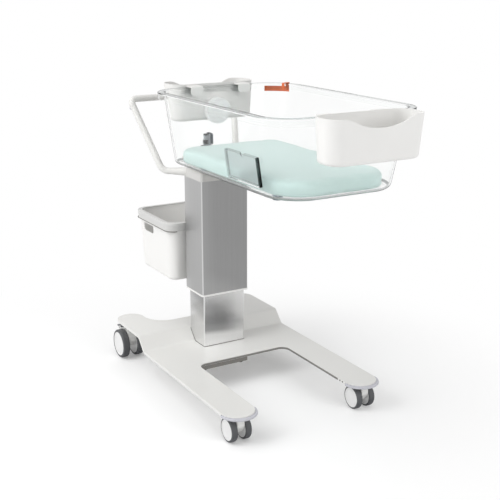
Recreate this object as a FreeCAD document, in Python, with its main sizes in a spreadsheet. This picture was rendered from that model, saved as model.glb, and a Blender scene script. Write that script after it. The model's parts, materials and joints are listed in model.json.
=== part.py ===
import FreeCAD, Part
import math
import os

import Sketcher
from FreeCAD import Placement, Rotation, Vector

# Hospital bassinet: a clear basin on a tilting cradle, a telescopic column, a U-shaped
# wheeled base.  Millimetres, +Z up, +X towards the foot end, origin on the floor under
# the middle of the column.

os.makedirs("parts", exist_ok=True)
doc = FreeCAD.newDocument("hospital_bassinet")
sheet = doc.addObject("Spreadsheet::Sheet", "sizes")

SIZES = [
    # clearances
    ("soft_gap", 0.3), ("shaft_gap", 0.05), ("side_gap", 0.4), ("bolt_gap", 0.2),
    # base plate
    ("plate_thick", 10), ("plate_low", 95), ("plate_high", 138), ("fold_low_x", -15),
    ("fold_high_x", -56), ("base_half_wide", 272), ("leg_tip_x", 580), ("leg_inner_y", 166),
    ("cutout_x", 176), ("cutout_round", 28), ("rear_tip_x", -273), ("rear_gap_x", -141),
    ("rear_gap_y", 178), ("rear_gap_round", 79), ("fold_round", 14), ("edge_round", 2.5),
    ("plate_edge", 1.5),
    # frame under the base plate
    ("beam_back_x", 62), ("beam_front_x", 172.5), ("beam_right_y", -150), ("beam_left_y", 22),
    ("beam_deep", 15), ("beam_wall", 3), ("beam_foot", 6), ("beam_foot_deep", 4),
    ("beam_foot_in", 18), ("rail_deep", 9), ("rail_wide", 34), ("rail_back_x", 176),
    ("rail_front_x", 468), ("bumper_thick", 5), ("bumper_deep", 7),
    ("bumper_reach", 5), ("bumper_round", 2),
    # column
    ("outer_long", 126), ("outer_wide", 174), ("outer_wall", 2.5), ("outer_round", 8),
    ("outer_low", 283), ("outer_top", 667), ("column_gap_x", 7.5), ("column_gap_y", 6.5),
    ("inner_wall", 3), ("inner_round", 6), ("inner_top", 525), ("ring_deep", 6),
    ("ring_lip", 0.8), ("glide_high", 80), ("glide_margin", 14), ("cap_thick", 28),
    ("cap_round", 9), ("spigot_deep", 8), ("foot_plate_thick", 8), ("foot_plate_back_x", -8),
    ("foot_plate_front_x", 46), ("foot_plate_half_wide", 64), ("foot_bolt_y", 50),
    ("foot_bolt_back_x", 4), ("foot_bolt_front_x", 34), ("bolt_shank", 4), ("bolt_head", 6.5),
    ("bolt_head_thick", 5), ("lift_down", 125), ("lift_up", 130),
    ("strut_x", 16), ("strut_tube", 14), ("strut_rod", 5), ("strut_top", 440),
    ("strut_rod_low", 240),
    # push handle
    ("bar_tube", 11), ("bar_wall", 2), ("bar_z", 908), ("bar_x", -230), ("bar_half_wide", 198),
    ("bend_x", -110), ("bend_y", 142), ("bend_z", 681), ("bar_root_x", -40), ("bar_root_y", 62),
    ("bend_round", 34), ("corner_round", 16), ("fairing_tube", 15.5), ("fairing_long", 75),
    ("nub_tube", 8), ("nub_out", 9), ("nub_drop", 34),
    # tilting head
    ("pivot_z", 716), ("pivot_pin", 5), ("ear_tube", 13), ("ear_in_y", 24), ("ear_thick", 12),
    ("ear_flare", 8),
    ("yoke_half_long", 46), ("yoke_thick", 6), ("cradle_thick", 12), ("cradle_back_x", -20),
    ("cradle_front_x", 600), ("cradle_half_wide", 118), ("rib_deep", 14), ("rib_thick", 6),
    ("rib_y", 72), ("rib_back_x", 82), ("rib_front_x", 560), ("pivot_screw", 8),
    ("pivot_head", 4),
    # release lever
    ("lever_x", -55.5), ("lever_pin", 2.5), ("lever_pin_z", 758), ("cheek_in_y", 11),
    ("cheek_thick", 4), ("lever_half_deep", 6.5), ("lever_top", 800), ("lever_tip", 14), ("lever_thick", 7),
    # basin
    ("tub_head_x", 8), ("tub_foot_x", 771), ("tub_half_wide", 248.5), ("rim_z", 966),
    ("floor_z", 743), ("tub_wall", 5), ("lip_wide", 18), ("lip_thick", 4), ("skirt_deep", 20),
    ("skirt_thick", 3), ("head_draft", 34), ("side_draft", 33.5), ("foot_draft", 15),
    ("head_round", 115), ("foot_round", 103), ("head_taper", 37), ("foot_spread", 22),
    ("floor_round", 18), ("stand_tube", 14), ("stand_y", 147), ("stand_back_x", 212),
    ("stand_front_x", 624), ("stand_high", 12),
    # mattress
    ("mat_side_gap", 12), ("mat_head_gap", 14), ("mat_foot_gap", 4), ("mat_thick", 46),
    ("mat_edge", 12),
    # trays
    ("tray_deep", 108), ("tray_half_wide", 150), ("tray_rise", 8), ("tray_high", 118),
    ("tray_wall", 3.5), ("tray_round", 42), ("tray_draft", 7),
    ("tray_floor_round", 12), ("smile_half_wide", 114), ("smile_deep", 28), ("hook_wide", 42),
    ("hook_y", 85), ("hook_thick", 4), ("hook_drop", 24), ("hook_clear", 8), ("hook_round", 9),
    ("pad_tube", 41), ("pad_rise", 31),
    # card holder and corner clip
    ("card_back_x", 468), ("card_long", 170), ("card_high", 81), ("card_low", 773),
    ("card_plate", 2), ("card_slot", 6), ("card_edge", 5), ("card_notch", 11),
    ("clip_thick", 2.7), ("clip_drop", 28), ("clip_band", 17), ("clip_start", 116),
    ("clip_angle", 42), ("strap_angle", 6), ("strap_leg", 18), ("strap_gap", 5),
    # bin
    ("bin_front_x", -72), ("bin_back_x", -355), ("bin_half_wide", 143), ("bin_top", 503),
    ("bin_low", 295), ("bin_round", 40), ("collar_deep", 28), ("collar_lip", 14),
    ("collar_wall", 3), ("collar_tier", 13), ("collar_step", 2), ("bin_wall", 3), ("bin_draft", 9),
    ("bin_inset", 8),
    ("bin_floor_round", 14), ("grip_x", -255), ("grip_z", 449), ("grip_long", 76),
    ("grip_high", 28), ("hanger_half_wide", 62), ("hanger_thick", 5), ("hanger_lip", 2),
    ("hanger_low", 300), ("spacer_high", 16), ("bin_lift", 40),
    # casters
    ("front_caster_in", 39), ("front_caster_out", 3), ("rear_caster_in", 59),
    ("rear_caster_out", 11), ("front_wheel", 37.5), ("rear_wheel", 50), ("front_tread", 20),
    ("rear_tread", 25), ("front_arm", 24), ("rear_arm", 26), ("caster_trail", 14),
    ("wheel_gap", 1), ("axle_tube", 4), ("axle_wall", 7), ("stem_tube", 6), ("boss_wall", 6),
    ("stem_long", 20), ("mount_disc", 22), ("mount_disc_thick", 4), ("hub_share", 0.84),
    ("tyre_round", 5), ("hub_web", 3), ("hub_relief", 1), ("hub_ring", 4), ("hood_gap", 2),
    ("hood_thick", 2.5),
    ("hood_low_angle", 88), ("hood_high_angle", 140), ("pedal_long", 26), ("pedal_wide", 30),
    ("pedal_thick", 5), ("pedal_pin", 2.5), ("pedal_hub_wall", 2.5), ("pedal_angle", 130),
    ("lug_thick", 3), ("lug_round", 4), ("lug_wall", 1.5), ("lug_angle", 18),
]
for row, (alias, value) in enumerate(SIZES, start=1):
    sheet.set(f"A{row}", alias)
    sheet.set(f"B{row}", str(value))
    sheet.setAlias(f"B{row}", alias)
doc.recompute()


def size(alias):
    return float(sheet.get(alias))


# ---------------------------------------------------------------- drawing helpers

def rounded_path(corners, closed=True):
    """Lines and arcs through corners (x, y, radius) or (x, y, z, radius)."""
    points = [Vector(*c[:-1]) for c in corners]
    radii = [c[-1] for c in corners]
    count = len(points)
    starts, ends, mids = [], [], []
    for i, (point, radius) in enumerate(zip(points, radii)):
        if radius <= 0 or (not closed and i in (0, count - 1)):
            starts.append(point)
            ends.append(point)
            mids.append(None)
            continue
        before = (points[i - 1] - point).normalize()
        after = (points[(i + 1) % count] - point).normalize()
        half = before.getAngle(after) / 2
        reach = radius / math.tan(half)
        middle = (before + after).normalize()
        starts.append(point + before * reach)
        ends.append(point + after * reach)
        mids.append(point + middle * (radius / math.sin(half) - radius))
    pieces = []
    for i in range(count):
        if mids[i] is not None:
            pieces.append(Part.Arc(starts[i], mids[i], ends[i]))
        following = (i + 1) % count
        if not closed and following == 0:
            break
        if (starts[following] - ends[i]).Length > 1e-6:
            pieces.append(Part.LineSegment(ends[i], starts[following]))
    return pieces


def rect(x0, x1, y0, y1, *radii):
    """Corner list of a rectangle; one radius, or one each for the low and high x ends."""
    low, high = (radii[0], radii[-1]) if radii else (0, 0)
    return [(x0, y0, low), (x1, y0, high), (x1, y1, high), (x0, y1, low)]


def face_at(corners, z):
    wire = Part.Wire([g.toShape() for g in rounded_path(corners)])
    wire.translate(Vector(0, 0, z))
    return wire


def lofted(low_corners, low_z, high_corners, high_z):
    return Part.makeLoft([face_at(low_corners, low_z), face_at(high_corners, high_z)], True, True)


def slab(corners, low_z, high_z):
    face = Part.Face(face_at(corners, low_z))
    return face.extrude(Vector(0, 0, high_z - low_z))


def edges_at(shape, z):
    """Edges lying in the level plane at height z."""
    return [e for e in shape.Edges
            if abs(e.BoundBox.ZMin - z) < 1e-4 and abs(e.BoundBox.ZMax - z) < 1e-4]


def plane_of(body, role):
    return next(f for f in body.Origin.OriginFeatures if f.Role == role + "_Plane")


def add_sketch(body, plane, loops, offset="0"):
    """A sketch on one of the body's planes; a loop is a corner list or (x, y, radius rule)."""
    sketch = body.newObject("Sketcher::SketchObject", "Sketch")
    sketch.AttachmentSupport = [(plane_of(body, plane), "")]
    sketch.MapMode = "FlatFace"
    sketch.setExpression("AttachmentOffset.Base.z", offset)
    for loop in loops:
        if isinstance(loop, tuple):
            x, y, rule = loop
            radius = float(sketch.evalExpression(rule))
            index = sketch.addGeometry(Part.Circle(Vector(x, y, 0), Vector(0, 0, 1), radius))
            number = sketch.addConstraint(Sketcher.Constraint("Radius", index, radius))
            sketch.setExpression(f"Constraints[{number}]", rule)
        else:
            sketch.addGeometry(rounded_path(loop), False)
    return sketch


def feature(body, kind, sketch, length, both=False, flip=False):
    item = body.newObject("PartDesign::" + kind, kind)
    item.Profile = sketch
    item.setExpression("Length", length)
    if both:
        item.SideType = "Symmetric"
    item.Reversed = flip
    sketch.Visibility = False
    return item


def new_body(label):
    body = doc.addObject("PartDesign::Body", label)
    body.Label = label
    nodes.append(body)
    return body


def pad(body, plane, loops, length, offset="0", both=False, flip=False):
    return feature(body, "Pad", add_sketch(body, plane, loops, offset), length, both, flip)


def pocket(body, plane, loops, length, offset="0", both=False, flip=False):
    """Cuts, on XY downwards from the offset, and fails loudly if it removed nothing."""
    doc.recompute()
    before = body.Shape.Volume
    item = feature(body, "Pocket", add_sketch(body, plane, loops, offset), length, both, flip)
    doc.recompute()
    if body.Shape.Volume > before - 1e-3:
        raise RuntimeError(body.Label + ": a pocket cut nothing")
    return item


def revolved(label, corners, plane="YZ", axis="H_Axis"):
    """A body of revolution about the sketch's horizontal or vertical axis."""
    body = new_body(label)
    sketch = add_sketch(body, plane, [corners])
    item = body.newObject("PartDesign::Revolution", "Revolution")
    item.Profile = sketch
    item.ReferenceAxis = (sketch, [axis])
    item.Angle = 360
    return body


def rounded_edges(body, radius_alias, keep):
    """A PartDesign fillet on the edges of the tip that keep(edge) picks."""
    doc.recompute()
    tip = body.Tip
    names = [f"Edge{i}" for i, edge in enumerate(tip.Shape.Edges, start=1) if keep(edge)]
    item = body.newObject("PartDesign::Fillet", "Fillet")
    item.Base = (tip, names)
    item.setExpression("Radius", "sizes." + radius_alias)
    return item


def level(z):
    return lambda e: abs(e.BoundBox.ZMin - z) < 1e-4 and abs(e.BoundBox.ZMax - z) < 1e-4


def solid(label, shape):
    item = doc.addObject("Part::Feature", label)
    item.Label = label
    item.Shape = shape
    nodes.append(item)
    return item


def at(item, x, y, z):
    """Binds an object's place to expressions."""
    for axis, rule in zip("xyz", (x, y, z)):
        item.setExpression("Placement.Base." + axis, rule)


nodes = []

# ---------------------------------------------------------------- base

plate_low, plate_high = size("plate_low"), size("plate_high")
plate_thick = size("plate_thick")
half_wide = size("base_half_wide")
leg_inner, cutout_x = size("leg_inner_y"), size("cutout_x")
leg_round = (half_wide - leg_inner) / 2
lobe_round = (half_wide - size("rear_gap_y")) / 2
rear_tip, rear_gap = size("rear_tip_x"), size("rear_gap_x")
leg_tip, rear_y = size("leg_tip_x"), size("rear_gap_y")
fold_high, fold_low = size("fold_high_x"), size("fold_low_x")

half_plan = [
    (rear_gap, rear_y, size("rear_gap_round")),
    (rear_tip, rear_y, lobe_round),
    (rear_tip, half_wide, lobe_round),
    (leg_tip, half_wide, leg_round),
    (leg_tip, leg_inner, leg_round),
    (cutout_x, leg_inner, size("cutout_round")),
]
base_plan = half_plan + [(x, -y, r) for x, y, r in reversed(half_plan)]
margin = 60  # how far the cutting outlines reach past the plate
fold_round = size("fold_round")
plate_top_line = [(rear_tip - margin, plate_high, 0), (fold_high, plate_high, fold_round),
                  (fold_low, plate_low, fold_round), (leg_tip + margin, plate_low, 0)]
plate_under_line = [(x, z - plate_thick, r) for x, z, r in plate_top_line]
ceiling = plate_high + margin
above_plate = plate_top_line + [(leg_tip + margin, ceiling, 0), (rear_tip - margin, ceiling, 0)]
below_plate = plate_under_line + [(leg_tip + margin, -margin, 0), (rear_tip - margin, -margin, 0)]
foot_bolts = [(size(x), side * size("foot_bolt_y"))
              for x in ("foot_bolt_back_x", "foot_bolt_front_x") for side in (-1, 1)]



def on_plate_edge(edge):
    """Edges of the plate's rim, upper or lower, without the lines across its fold."""
    box = edge.BoundBox
    upright = box.ZLength > plate_thick - 1e-3 and box.XLength < 1e-3
    across = box.XLength < 1e-3 and fold_high - fold_round < box.XMin < fold_low + fold_round
    return not upright and not across


base_plate = new_body("base_plate")
pad(base_plate, "XY", [base_plan], "sizes.plate_high")
pocket(base_plate, "XZ", [above_plate], "4 * sizes.base_half_wide", both=True)
pocket(base_plate, "XZ", [below_plate], "4 * sizes.base_half_wide", both=True)
rounded_edges(base_plate, "plate_edge", on_plate_edge)
pocket(base_plate, "XY", [(x, y, "sizes.bolt_shank + sizes.bolt_gap") for x, y in foot_bolts],
       "sizes.plate_high", "sizes.plate_high")

# channel under the plate just behind the cut-out, with two small feet, and a rail in each leg
beam_back, beam_front = size("beam_back_x"), size("beam_front_x")
beam_right, beam_left, beam_wall = size("beam_right_y"), size("beam_left_y"), size("beam_wall")
beam_foot_in = size("beam_foot_in")
beam = new_body("cross_beam")
pad(beam, "XY", [rect(beam_back, beam_front, beam_right, beam_left, 4)], "sizes.beam_deep",
    "sizes.plate_low - sizes.plate_thick - sizes.beam_deep")
pocket(beam, "XY", [rect(beam_back + beam_wall, beam_front - beam_wall,
                         beam_right + beam_wall, beam_left - beam_wall, 2)],
       "sizes.beam_deep - sizes.beam_wall", "sizes.plate_low - sizes.plate_thick")
pad(beam, "XY", [(beam_front - beam_foot_in, y, "sizes.beam_foot")
                 for y in (beam_right + beam_foot_in, beam_left - beam_foot_in)], "sizes.beam_foot_deep",
    "sizes.plate_low - sizes.plate_thick - sizes.beam_deep - sizes.beam_foot_deep")

leg_middle = (half_wide + leg_inner) / 2
rails = new_body("leg_rails")
pad(rails, "XY", [rect(size("rail_back_x"), size("rail_front_x"),
                       side * leg_middle - size("rail_wide") / 2,
                       side * leg_middle + size("rail_wide") / 2, 6) for side in (-1, 1)],
    "sizes.rail_deep", "sizes.plate_low - sizes.plate_thick - sizes.rail_deep")


def crescent(middle_x, middle_y, inner, thick, reach):
    """Half ring open towards -X, whose outer arc is moved by reach towards +X."""
    def arc(middle, radius):
        turn = [Vector(middle + radius * math.cos(math.radians(a)),
                       middle_y + radius * math.sin(math.radians(a)), 0) for a in (-90, 0, 90)]
        return Part.Arc(*turn), turn[0], turn[2]
    outer_arc, outer_low, outer_high = arc(middle_x + reach, inner + thick)
    inner_arc, inner_low, inner_high = arc(middle_x, inner)
    return [outer_arc, Part.LineSegment(outer_high, inner_high), inner_arc,
            Part.LineSegment(inner_low, outer_low)]


for side, name in ((-1, "bumper_right"), (1, "bumper_left")):
    bumper = new_body("leg_" + name)
    sketch = add_sketch(bumper, "XY", [], "sizes.plate_low - sizes.plate_thick")
    sketch.addGeometry(crescent(leg_tip - leg_round, side * leg_middle, leg_round,
                                size("bumper_thick"), size("bumper_reach")), False)
    feature(bumper, "Pad", sketch, "sizes.bumper_deep")
    rounded_edges(bumper, "bumper_round", lambda e: e.BoundBox.ZLength < 1e-4
                  and e.BoundBox.YLength > 2 * leg_round + size("bumper_thick"))

# ---------------------------------------------------------------- lower column, fixed to the base


def centred(long, wide, radius, inset=0.0):
    return rect(-long / 2 + inset, long / 2 - inset, -wide / 2 + inset, wide / 2 - inset,
                max(radius - inset, 1.0))


outer_long, outer_wide = size("outer_long"), size("outer_wide")
inner_round, outer_round = size("inner_round"), size("outer_round")
inner_wall, outer_wall = size("inner_wall"), size("outer_wall")
inner_long = outer_long - 2 * outer_wall - 2 * size("column_gap_x")
inner_wide = outer_wide - 2 * outer_wall - 2 * size("column_gap_y")

inner_column = new_body("inner_column")
pad(inner_column, "XY", [centred(inner_long, inner_wide, inner_round),
                         centred(inner_long, inner_wide, inner_round, inner_wall)],
    "sizes.inner_top - sizes.plate_low", "sizes.plate_low")
under_top_line = plate_top_line + [(leg_tip + margin, -margin, 0), (rear_tip - margin, -margin, 0)]
pocket(inner_column, "XZ", [under_top_line], "2 * sizes.outer_wide", both=True)

glides = new_body("column_glides")
glide_x = size("column_gap_x") - size("side_gap")
glide_y = size("column_gap_y") - size("side_gap")
strip = size("glide_margin")
glide_loops = [
    rect(inner_long / 2, inner_long / 2 + glide_x, -inner_wide / 2 + strip, inner_wide / 2 - strip),
    rect(-inner_long / 2 - glide_x, -inner_long / 2, -inner_wide / 2 + strip, inner_wide / 2 - strip),
    rect(-inner_long / 2 + strip, inner_long / 2 - strip, inner_wide / 2, inner_wide / 2 + glide_y),
    rect(-inner_long / 2 + strip, inner_long / 2 - strip, -inner_wide / 2 - glide_y, -inner_wide / 2),
]
pad(glides, "XY", glide_loops, "sizes.glide_high", "sizes.inner_top - sizes.glide_high")

foot_plate = new_body("column_foot")
foot_half = size("foot_plate_half_wide")
pad(foot_plate, "XY", [rect(size("foot_plate_back_x"), size("foot_plate_front_x"),
                            -foot_half, foot_half, 4)], "sizes.foot_plate_thick", "sizes.plate_low")
pocket(foot_plate, "XY", [(x, y, "sizes.bolt_shank + sizes.bolt_gap") for x, y in foot_bolts],
       "sizes.foot_plate_thick", "sizes.plate_low + sizes.foot_plate_thick")

bolts = new_body("column_bolts")
pad(bolts, "XY", [(x, y, "sizes.bolt_shank") for x, y in foot_bolts],
    "sizes.foot_plate_thick + sizes.plate_thick", "sizes.plate_low - sizes.plate_thick")
pad(bolts, "XY", [(x, y, "sizes.bolt_head") for x, y in foot_bolts], "sizes.bolt_head_thick",
    "sizes.plate_low + sizes.foot_plate_thick")

strut_x = size("strut_x")
cylinder = new_body("lift_strut_cylinder")
pad(cylinder, "XY", [(strut_x, 0, "sizes.strut_tube")],
    "sizes.strut_top - sizes.plate_low - sizes.foot_plate_thick",
    "sizes.plate_low + sizes.foot_plate_thick")
pocket(cylinder, "XY", [(strut_x, 0, "sizes.strut_rod + sizes.shaft_gap")],
       "sizes.strut_top - sizes.strut_rod_low + sizes.lift_down + 5", "sizes.strut_top")

# ---------------------------------------------------------------- upper column, on the lift

outer_column = new_body("outer_column")
pad(outer_column, "XY", [centred(outer_long, outer_wide, outer_round),
                         centred(outer_long, outer_wide, outer_round, outer_wall)],
    "sizes.outer_top - sizes.outer_low", "sizes.outer_low")

ring = new_body("column_ring")
ring_lip, side_gap = size("ring_lip"), size("side_gap")
pad(ring, "XY", [centred(outer_long, outer_wide, outer_round + ring_lip, -ring_lip),
                 centred(inner_long, inner_wide, inner_round + side_gap, -side_gap)],
    "sizes.ring_deep", "sizes.outer_low - sizes.ring_deep")

cap = new_body("column_cap")
pad(cap, "XY", [centred(outer_long, outer_wide, outer_round)], "sizes.cap_thick", "sizes.outer_top")
cap_top = size("outer_top") + size("cap_thick")
rounded_edges(cap, "cap_round", level(cap_top))
pad(cap, "XY", [centred(outer_long, outer_wide, outer_round, outer_wall + size("bolt_gap"))],
    "sizes.spigot_deep", "sizes.outer_top - sizes.spigot_deep")

rod = new_body("lift_strut_rod")
pad(rod, "XY", [(strut_x, 0, "sizes.strut_rod")],
    "sizes.outer_top - sizes.spigot_deep - sizes.strut_rod_low", "sizes.strut_rod_low")

# push handle: one bent tube from the cap, out, up, across and back down
doc.recompute()
root_x, root_y = size("bar_root_x"), size("bar_root_y")
bend = (size("bend_x"), size("bend_y"), size("bend_z"))
top_corner = (size("bar_x"), size("bar_half_wide"), size("bar_z"))
handle_corners = [(root_x, -root_y, bend[2], 0), (bend[0], -bend[1], bend[2], size("bend_round")),
                  (top_corner[0], -top_corner[1], top_corner[2], size("corner_round"))]
handle_corners += [(x, -y, z, r) for x, y, z, r in reversed(handle_corners)]
handle_path = Part.Wire([g.toShape() for g in rounded_path(handle_corners, closed=False)])


def tube_along(path, radius):
    start, heading = path.Edges[0].valueAt(path.Edges[0].FirstParameter), path.Edges[0].tangentAt(
        path.Edges[0].FirstParameter)
    section = Part.Wire(Part.makeCircle(radius, start, heading))
    return path.makePipeShell([section], True, True)


bar_tube = size("bar_tube")
handle_core = tube_along(handle_path, bar_tube)
for side in (-1, 1):
    root = Vector(root_x, side * root_y, bend[2])
    out = Vector(bend[0], side * bend[1], bend[2]) - root
    fairing = Part.makeCone(size("fairing_tube"), bar_tube, size("fairing_long"), root, out)
    handle_core = handle_core.fuse(fairing)
handle_shape = handle_core.cut(tube_along(handle_path, bar_tube - size("bar_wall")))
handle_shape = handle_shape.cut(cap.Shape)
handle_shape = max(handle_shape.Solids, key=lambda s: s.Volume)
solid("push_handle", handle_shape)

nubs = []  # door bumpers near the top of the slanting legs
for side in (-1, 1):
    low = Vector(bend[0], side * bend[1], bend[2])
    high = Vector(top_corner[0], side * top_corner[1], top_corner[2])
    middle = high + (low - high).normalize() * size("nub_drop")
    nub = Part.makeCylinder(size("nub_tube"), bar_tube + size("nub_out"), middle, Vector(-1, 0, 0))
    nubs.append(nub.cut(handle_core))
solid("handle_bumpers", Part.makeCompound(nubs))

# ---------------------------------------------------------------- tilting head

pivot_z, ear_tube = size("pivot_z"), size("ear_tube")
ear_in, ear_out = size("ear_in_y"), size("ear_in_y") + size("ear_thick")
yoke = new_body("tilt_yoke")
pad(yoke, "XY", [rect(-size("yoke_half_long"), size("yoke_half_long"), -ear_out, ear_out, 6)],
    "sizes.yoke_thick", "sizes.outer_top + sizes.cap_thick")
yoke_top = cap_top + size("yoke_thick")
ear_foot = ear_tube + size("ear_flare")
ear = [(-ear_foot, yoke_top, 0), (ear_foot, yoke_top, 0),
       (ear_tube, pivot_z + ear_tube, ear_tube - 0.5), (-ear_tube, pivot_z + ear_tube, ear_tube - 0.5)]
pad(yoke, "XZ", [ear], "2 * (sizes.ear_in_y + sizes.ear_thick)", both=True)
notch = rect(-ear_foot - 1, ear_foot + 1, yoke_top, pivot_z + ear_tube + 1)
pocket(yoke, "XZ", [notch], "2 * sizes.ear_in_y", both=True)
pocket(yoke, "XZ", [(0, pivot_z, "sizes.pivot_pin")], "4 * sizes.ear_in_y", both=True)

pin = new_body("tilt_pin")
pad(pin, "XZ", [(0, pivot_z, "sizes.pivot_pin")], "2 * (sizes.ear_in_y + sizes.ear_thick)", both=True)
for side in (-1, 1):
    start = "sizes.ear_in_y + sizes.ear_thick" if side < 0 else \
        "-sizes.ear_in_y - sizes.ear_thick - sizes.pivot_head"
    pad(pin, "XZ", [(0, pivot_z, "sizes.pivot_screw")], "sizes.pivot_head", start)

cradle = new_body("cradle")
floor_z, cradle_half = size("floor_z"), size("cradle_half_wide")
pad(cradle, "XY", [rect(size("cradle_back_x"), size("cradle_front_x"), -cradle_half, cradle_half,
                        14, 60)], "sizes.cradle_thick", "sizes.floor_z - sizes.cradle_thick")
cradle_low = floor_z - size("cradle_thick")
knuckle = [(-ear_tube + 1, pivot_z - ear_tube + 1, ear_tube - 1.5),
           (ear_tube - 1, pivot_z - ear_tube + 1, ear_tube - 1.5),
           (ear_tube - 1, cradle_low, 0), (-ear_tube + 1, cradle_low, 0)]
pad(cradle, "XZ", [knuckle], "2 * (sizes.ear_in_y - sizes.side_gap)", both=True)
rib_y, rib_thick = size("rib_y"), size("rib_thick")
pad(cradle, "XY", [rect(size("rib_back_x"), size("rib_front_x"), side * rib_y - rib_thick / 2,
                        side * rib_y + rib_thick / 2) for side in (-1, 1)],
    "sizes.rib_deep", "sizes.floor_z - sizes.cradle_thick - sizes.rib_deep")
pocket(cradle, "XZ", [(0, pivot_z, "sizes.pivot_pin + sizes.shaft_gap")], "4 * sizes.ear_in_y",
       both=True)

# ---------------------------------------------------------------- release lever at the head end

lever_x, lever_z, lever_deep = size("lever_x"), size("lever_pin_z"), size("lever_half_deep")
cheek_out = size("cheek_in_y") + size("cheek_thick")
bracket = new_body("lever_bracket")
post = [(lever_x - lever_deep, cap_top, 0), (lever_x + lever_deep, cap_top, 0),
        (lever_x + lever_deep, lever_z + lever_deep, lever_deep - 0.5),
        (lever_x - lever_deep, lever_z + lever_deep, lever_deep - 0.5)]
pad(bracket, "XZ", [post], "2 * (sizes.cheek_in_y + sizes.cheek_thick)", both=True)
pocket(bracket, "XZ", [rect(lever_x - 2 * lever_deep, lever_x + 2 * lever_deep,
                            cap_top + size("cheek_thick"), lever_z + 2 * lever_deep)],
       "2 * sizes.cheek_in_y", both=True)
pocket(bracket, "XZ", [(lever_x, lever_z, "sizes.lever_pin")], "4 * sizes.cheek_in_y", both=True)

lever_pin = new_body("lever_pin")
pad(lever_pin, "XZ", [(lever_x, lever_z, "sizes.lever_pin")],
    "2 * (sizes.cheek_in_y + sizes.cheek_thick)", both=True)

lever = new_body("release_lever")
hub_half, paddle_half = lever_deep - 0.5, size("lever_thick") / 2
paddle = [(lever_x - hub_half, lever_z - hub_half, hub_half - 0.5),
          (lever_x + hub_half, lever_z - hub_half, hub_half - 0.5),
          (lever_x + hub_half, lever_z + hub_half, 3),
          (lever_x + paddle_half, size("lever_top") - size("lever_tip"), 6),
          (lever_x + paddle_half, size("lever_top"), 2),
          (lever_x - 2 * paddle_half, size("lever_top"), 2),
          (lever_x - paddle_half, size("lever_top") - size("lever_tip"), 6),
          (lever_x - hub_half, lever_z + hub_half, 3)]
pad(lever, "XZ", [paddle], "2 * (sizes.cheek_in_y - sizes.side_gap)", both=True)
pocket(lever, "XZ", [(lever_x, lever_z, "sizes.lever_pin + sizes.shaft_gap")],
       "4 * sizes.cheek_in_y", both=True)

# ---------------------------------------------------------------- basin

head_x, foot_x = size("tub_head_x"), size("tub_foot_x")
tub_half, rim_z = size("tub_half_wide"), size("rim_z")
head_round, foot_round = size("head_round"), size("foot_round")
lip, wall = size("lip_wide"), size("tub_wall")
rise = rim_z - floor_z


def basin_outline(z, inset):
    """Plan of the basin wall at a height: inset from the outer face of the wall."""
    drop, edge = (rim_z - z) / rise, lip + inset
    half = tub_half - edge - drop * size("side_draft")
    return rect(head_x + edge + drop * size("head_draft"), foot_x - edge - drop * size("foot_draft"),
                -half, half, head_round - edge - drop * size("head_taper"),
                foot_round - edge + drop * size("foot_spread"))


def rim_outline(inset):
    return rect(head_x + inset, foot_x - inset, -tub_half + inset, tub_half - inset,
                head_round - inset, foot_round - inset)


tub_floor = floor_z + wall
outside = lofted(basin_outline(floor_z, 0), floor_z, basin_outline(rim_z, 0), rim_z)
outside = outside.makeFillet(size("floor_round"), edges_at(outside, floor_z))
inside = lofted(basin_outline(tub_floor, wall), tub_floor, basin_outline(rim_z + 1, wall), rim_z + 1)
inside = inside.makeFillet(size("floor_round") - wall, edges_at(inside, tub_floor))
lip_ring = slab(rim_outline(0), rim_z - size("skirt_deep"), rim_z)
lip_ring = lip_ring.makeFillet(1.5, edges_at(lip_ring, rim_z))
lip_ring = lip_ring.cut(slab(rim_outline(size("skirt_thick")), rim_z - size("skirt_deep") - 1,
                             rim_z - size("lip_thick")))
tub = outside.fuse(lip_ring).cut(inside).removeSplitter()
solid("basin", tub)

stand_places = [(size(x), side * size("stand_y"))
                for x in ("stand_back_x", "stand_front_x") for side in (-1, 1)]
stands = new_body("basin_feet")
pad(stands, "XY", [(x, y, "sizes.stand_tube") for x, y in stand_places], "sizes.stand_high",
    "sizes.floor_z - sizes.stand_high")
rounded_edges(stands, "edge_round", level(floor_z - size("stand_high")))

# ---------------------------------------------------------------- mattress

mat_low, side_gap_in = tub_floor + size("soft_gap"), wall + size("mat_side_gap")
bed_head_corner, bed_foot_corner = basin_outline(tub_floor, side_gap_in)[:2]
bed_head, bed_side, bed_head_round = bed_head_corner
bed_foot, _, bed_foot_round = bed_foot_corner
mattress = new_body("mattress")
pad(mattress, "XY", [rect(bed_head - size("mat_side_gap") + size("mat_head_gap"),
                          bed_foot + size("mat_side_gap") - size("mat_foot_gap"),
                          bed_side, -bed_side, bed_head_round, bed_foot_round)], "sizes.mat_thick",
    "sizes.floor_z + sizes.tub_wall + sizes.soft_gap")
rounded_edges(mattress, "mat_edge", lambda e: level(mat_low)(e) or level(mat_low + size("mat_thick"))(e))

# ---------------------------------------------------------------- trays, hung on the rim at each end

tray_deep, tray_half = size("tray_deep"), size("tray_half_wide")
tray_top, tray_wall, tray_round = rim_z + size("tray_rise"), size("tray_wall"), size("tray_round")
tray_low = tray_top - size("tray_high")
hook_thick, hook_half = size("hook_thick"), size("hook_wide") / 2


def tray_outline(inset, draft):
    return rect(inset, tray_deep - inset - draft, -tray_half + inset + draft,
                tray_half - inset - draft, tray_round - inset)


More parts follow.
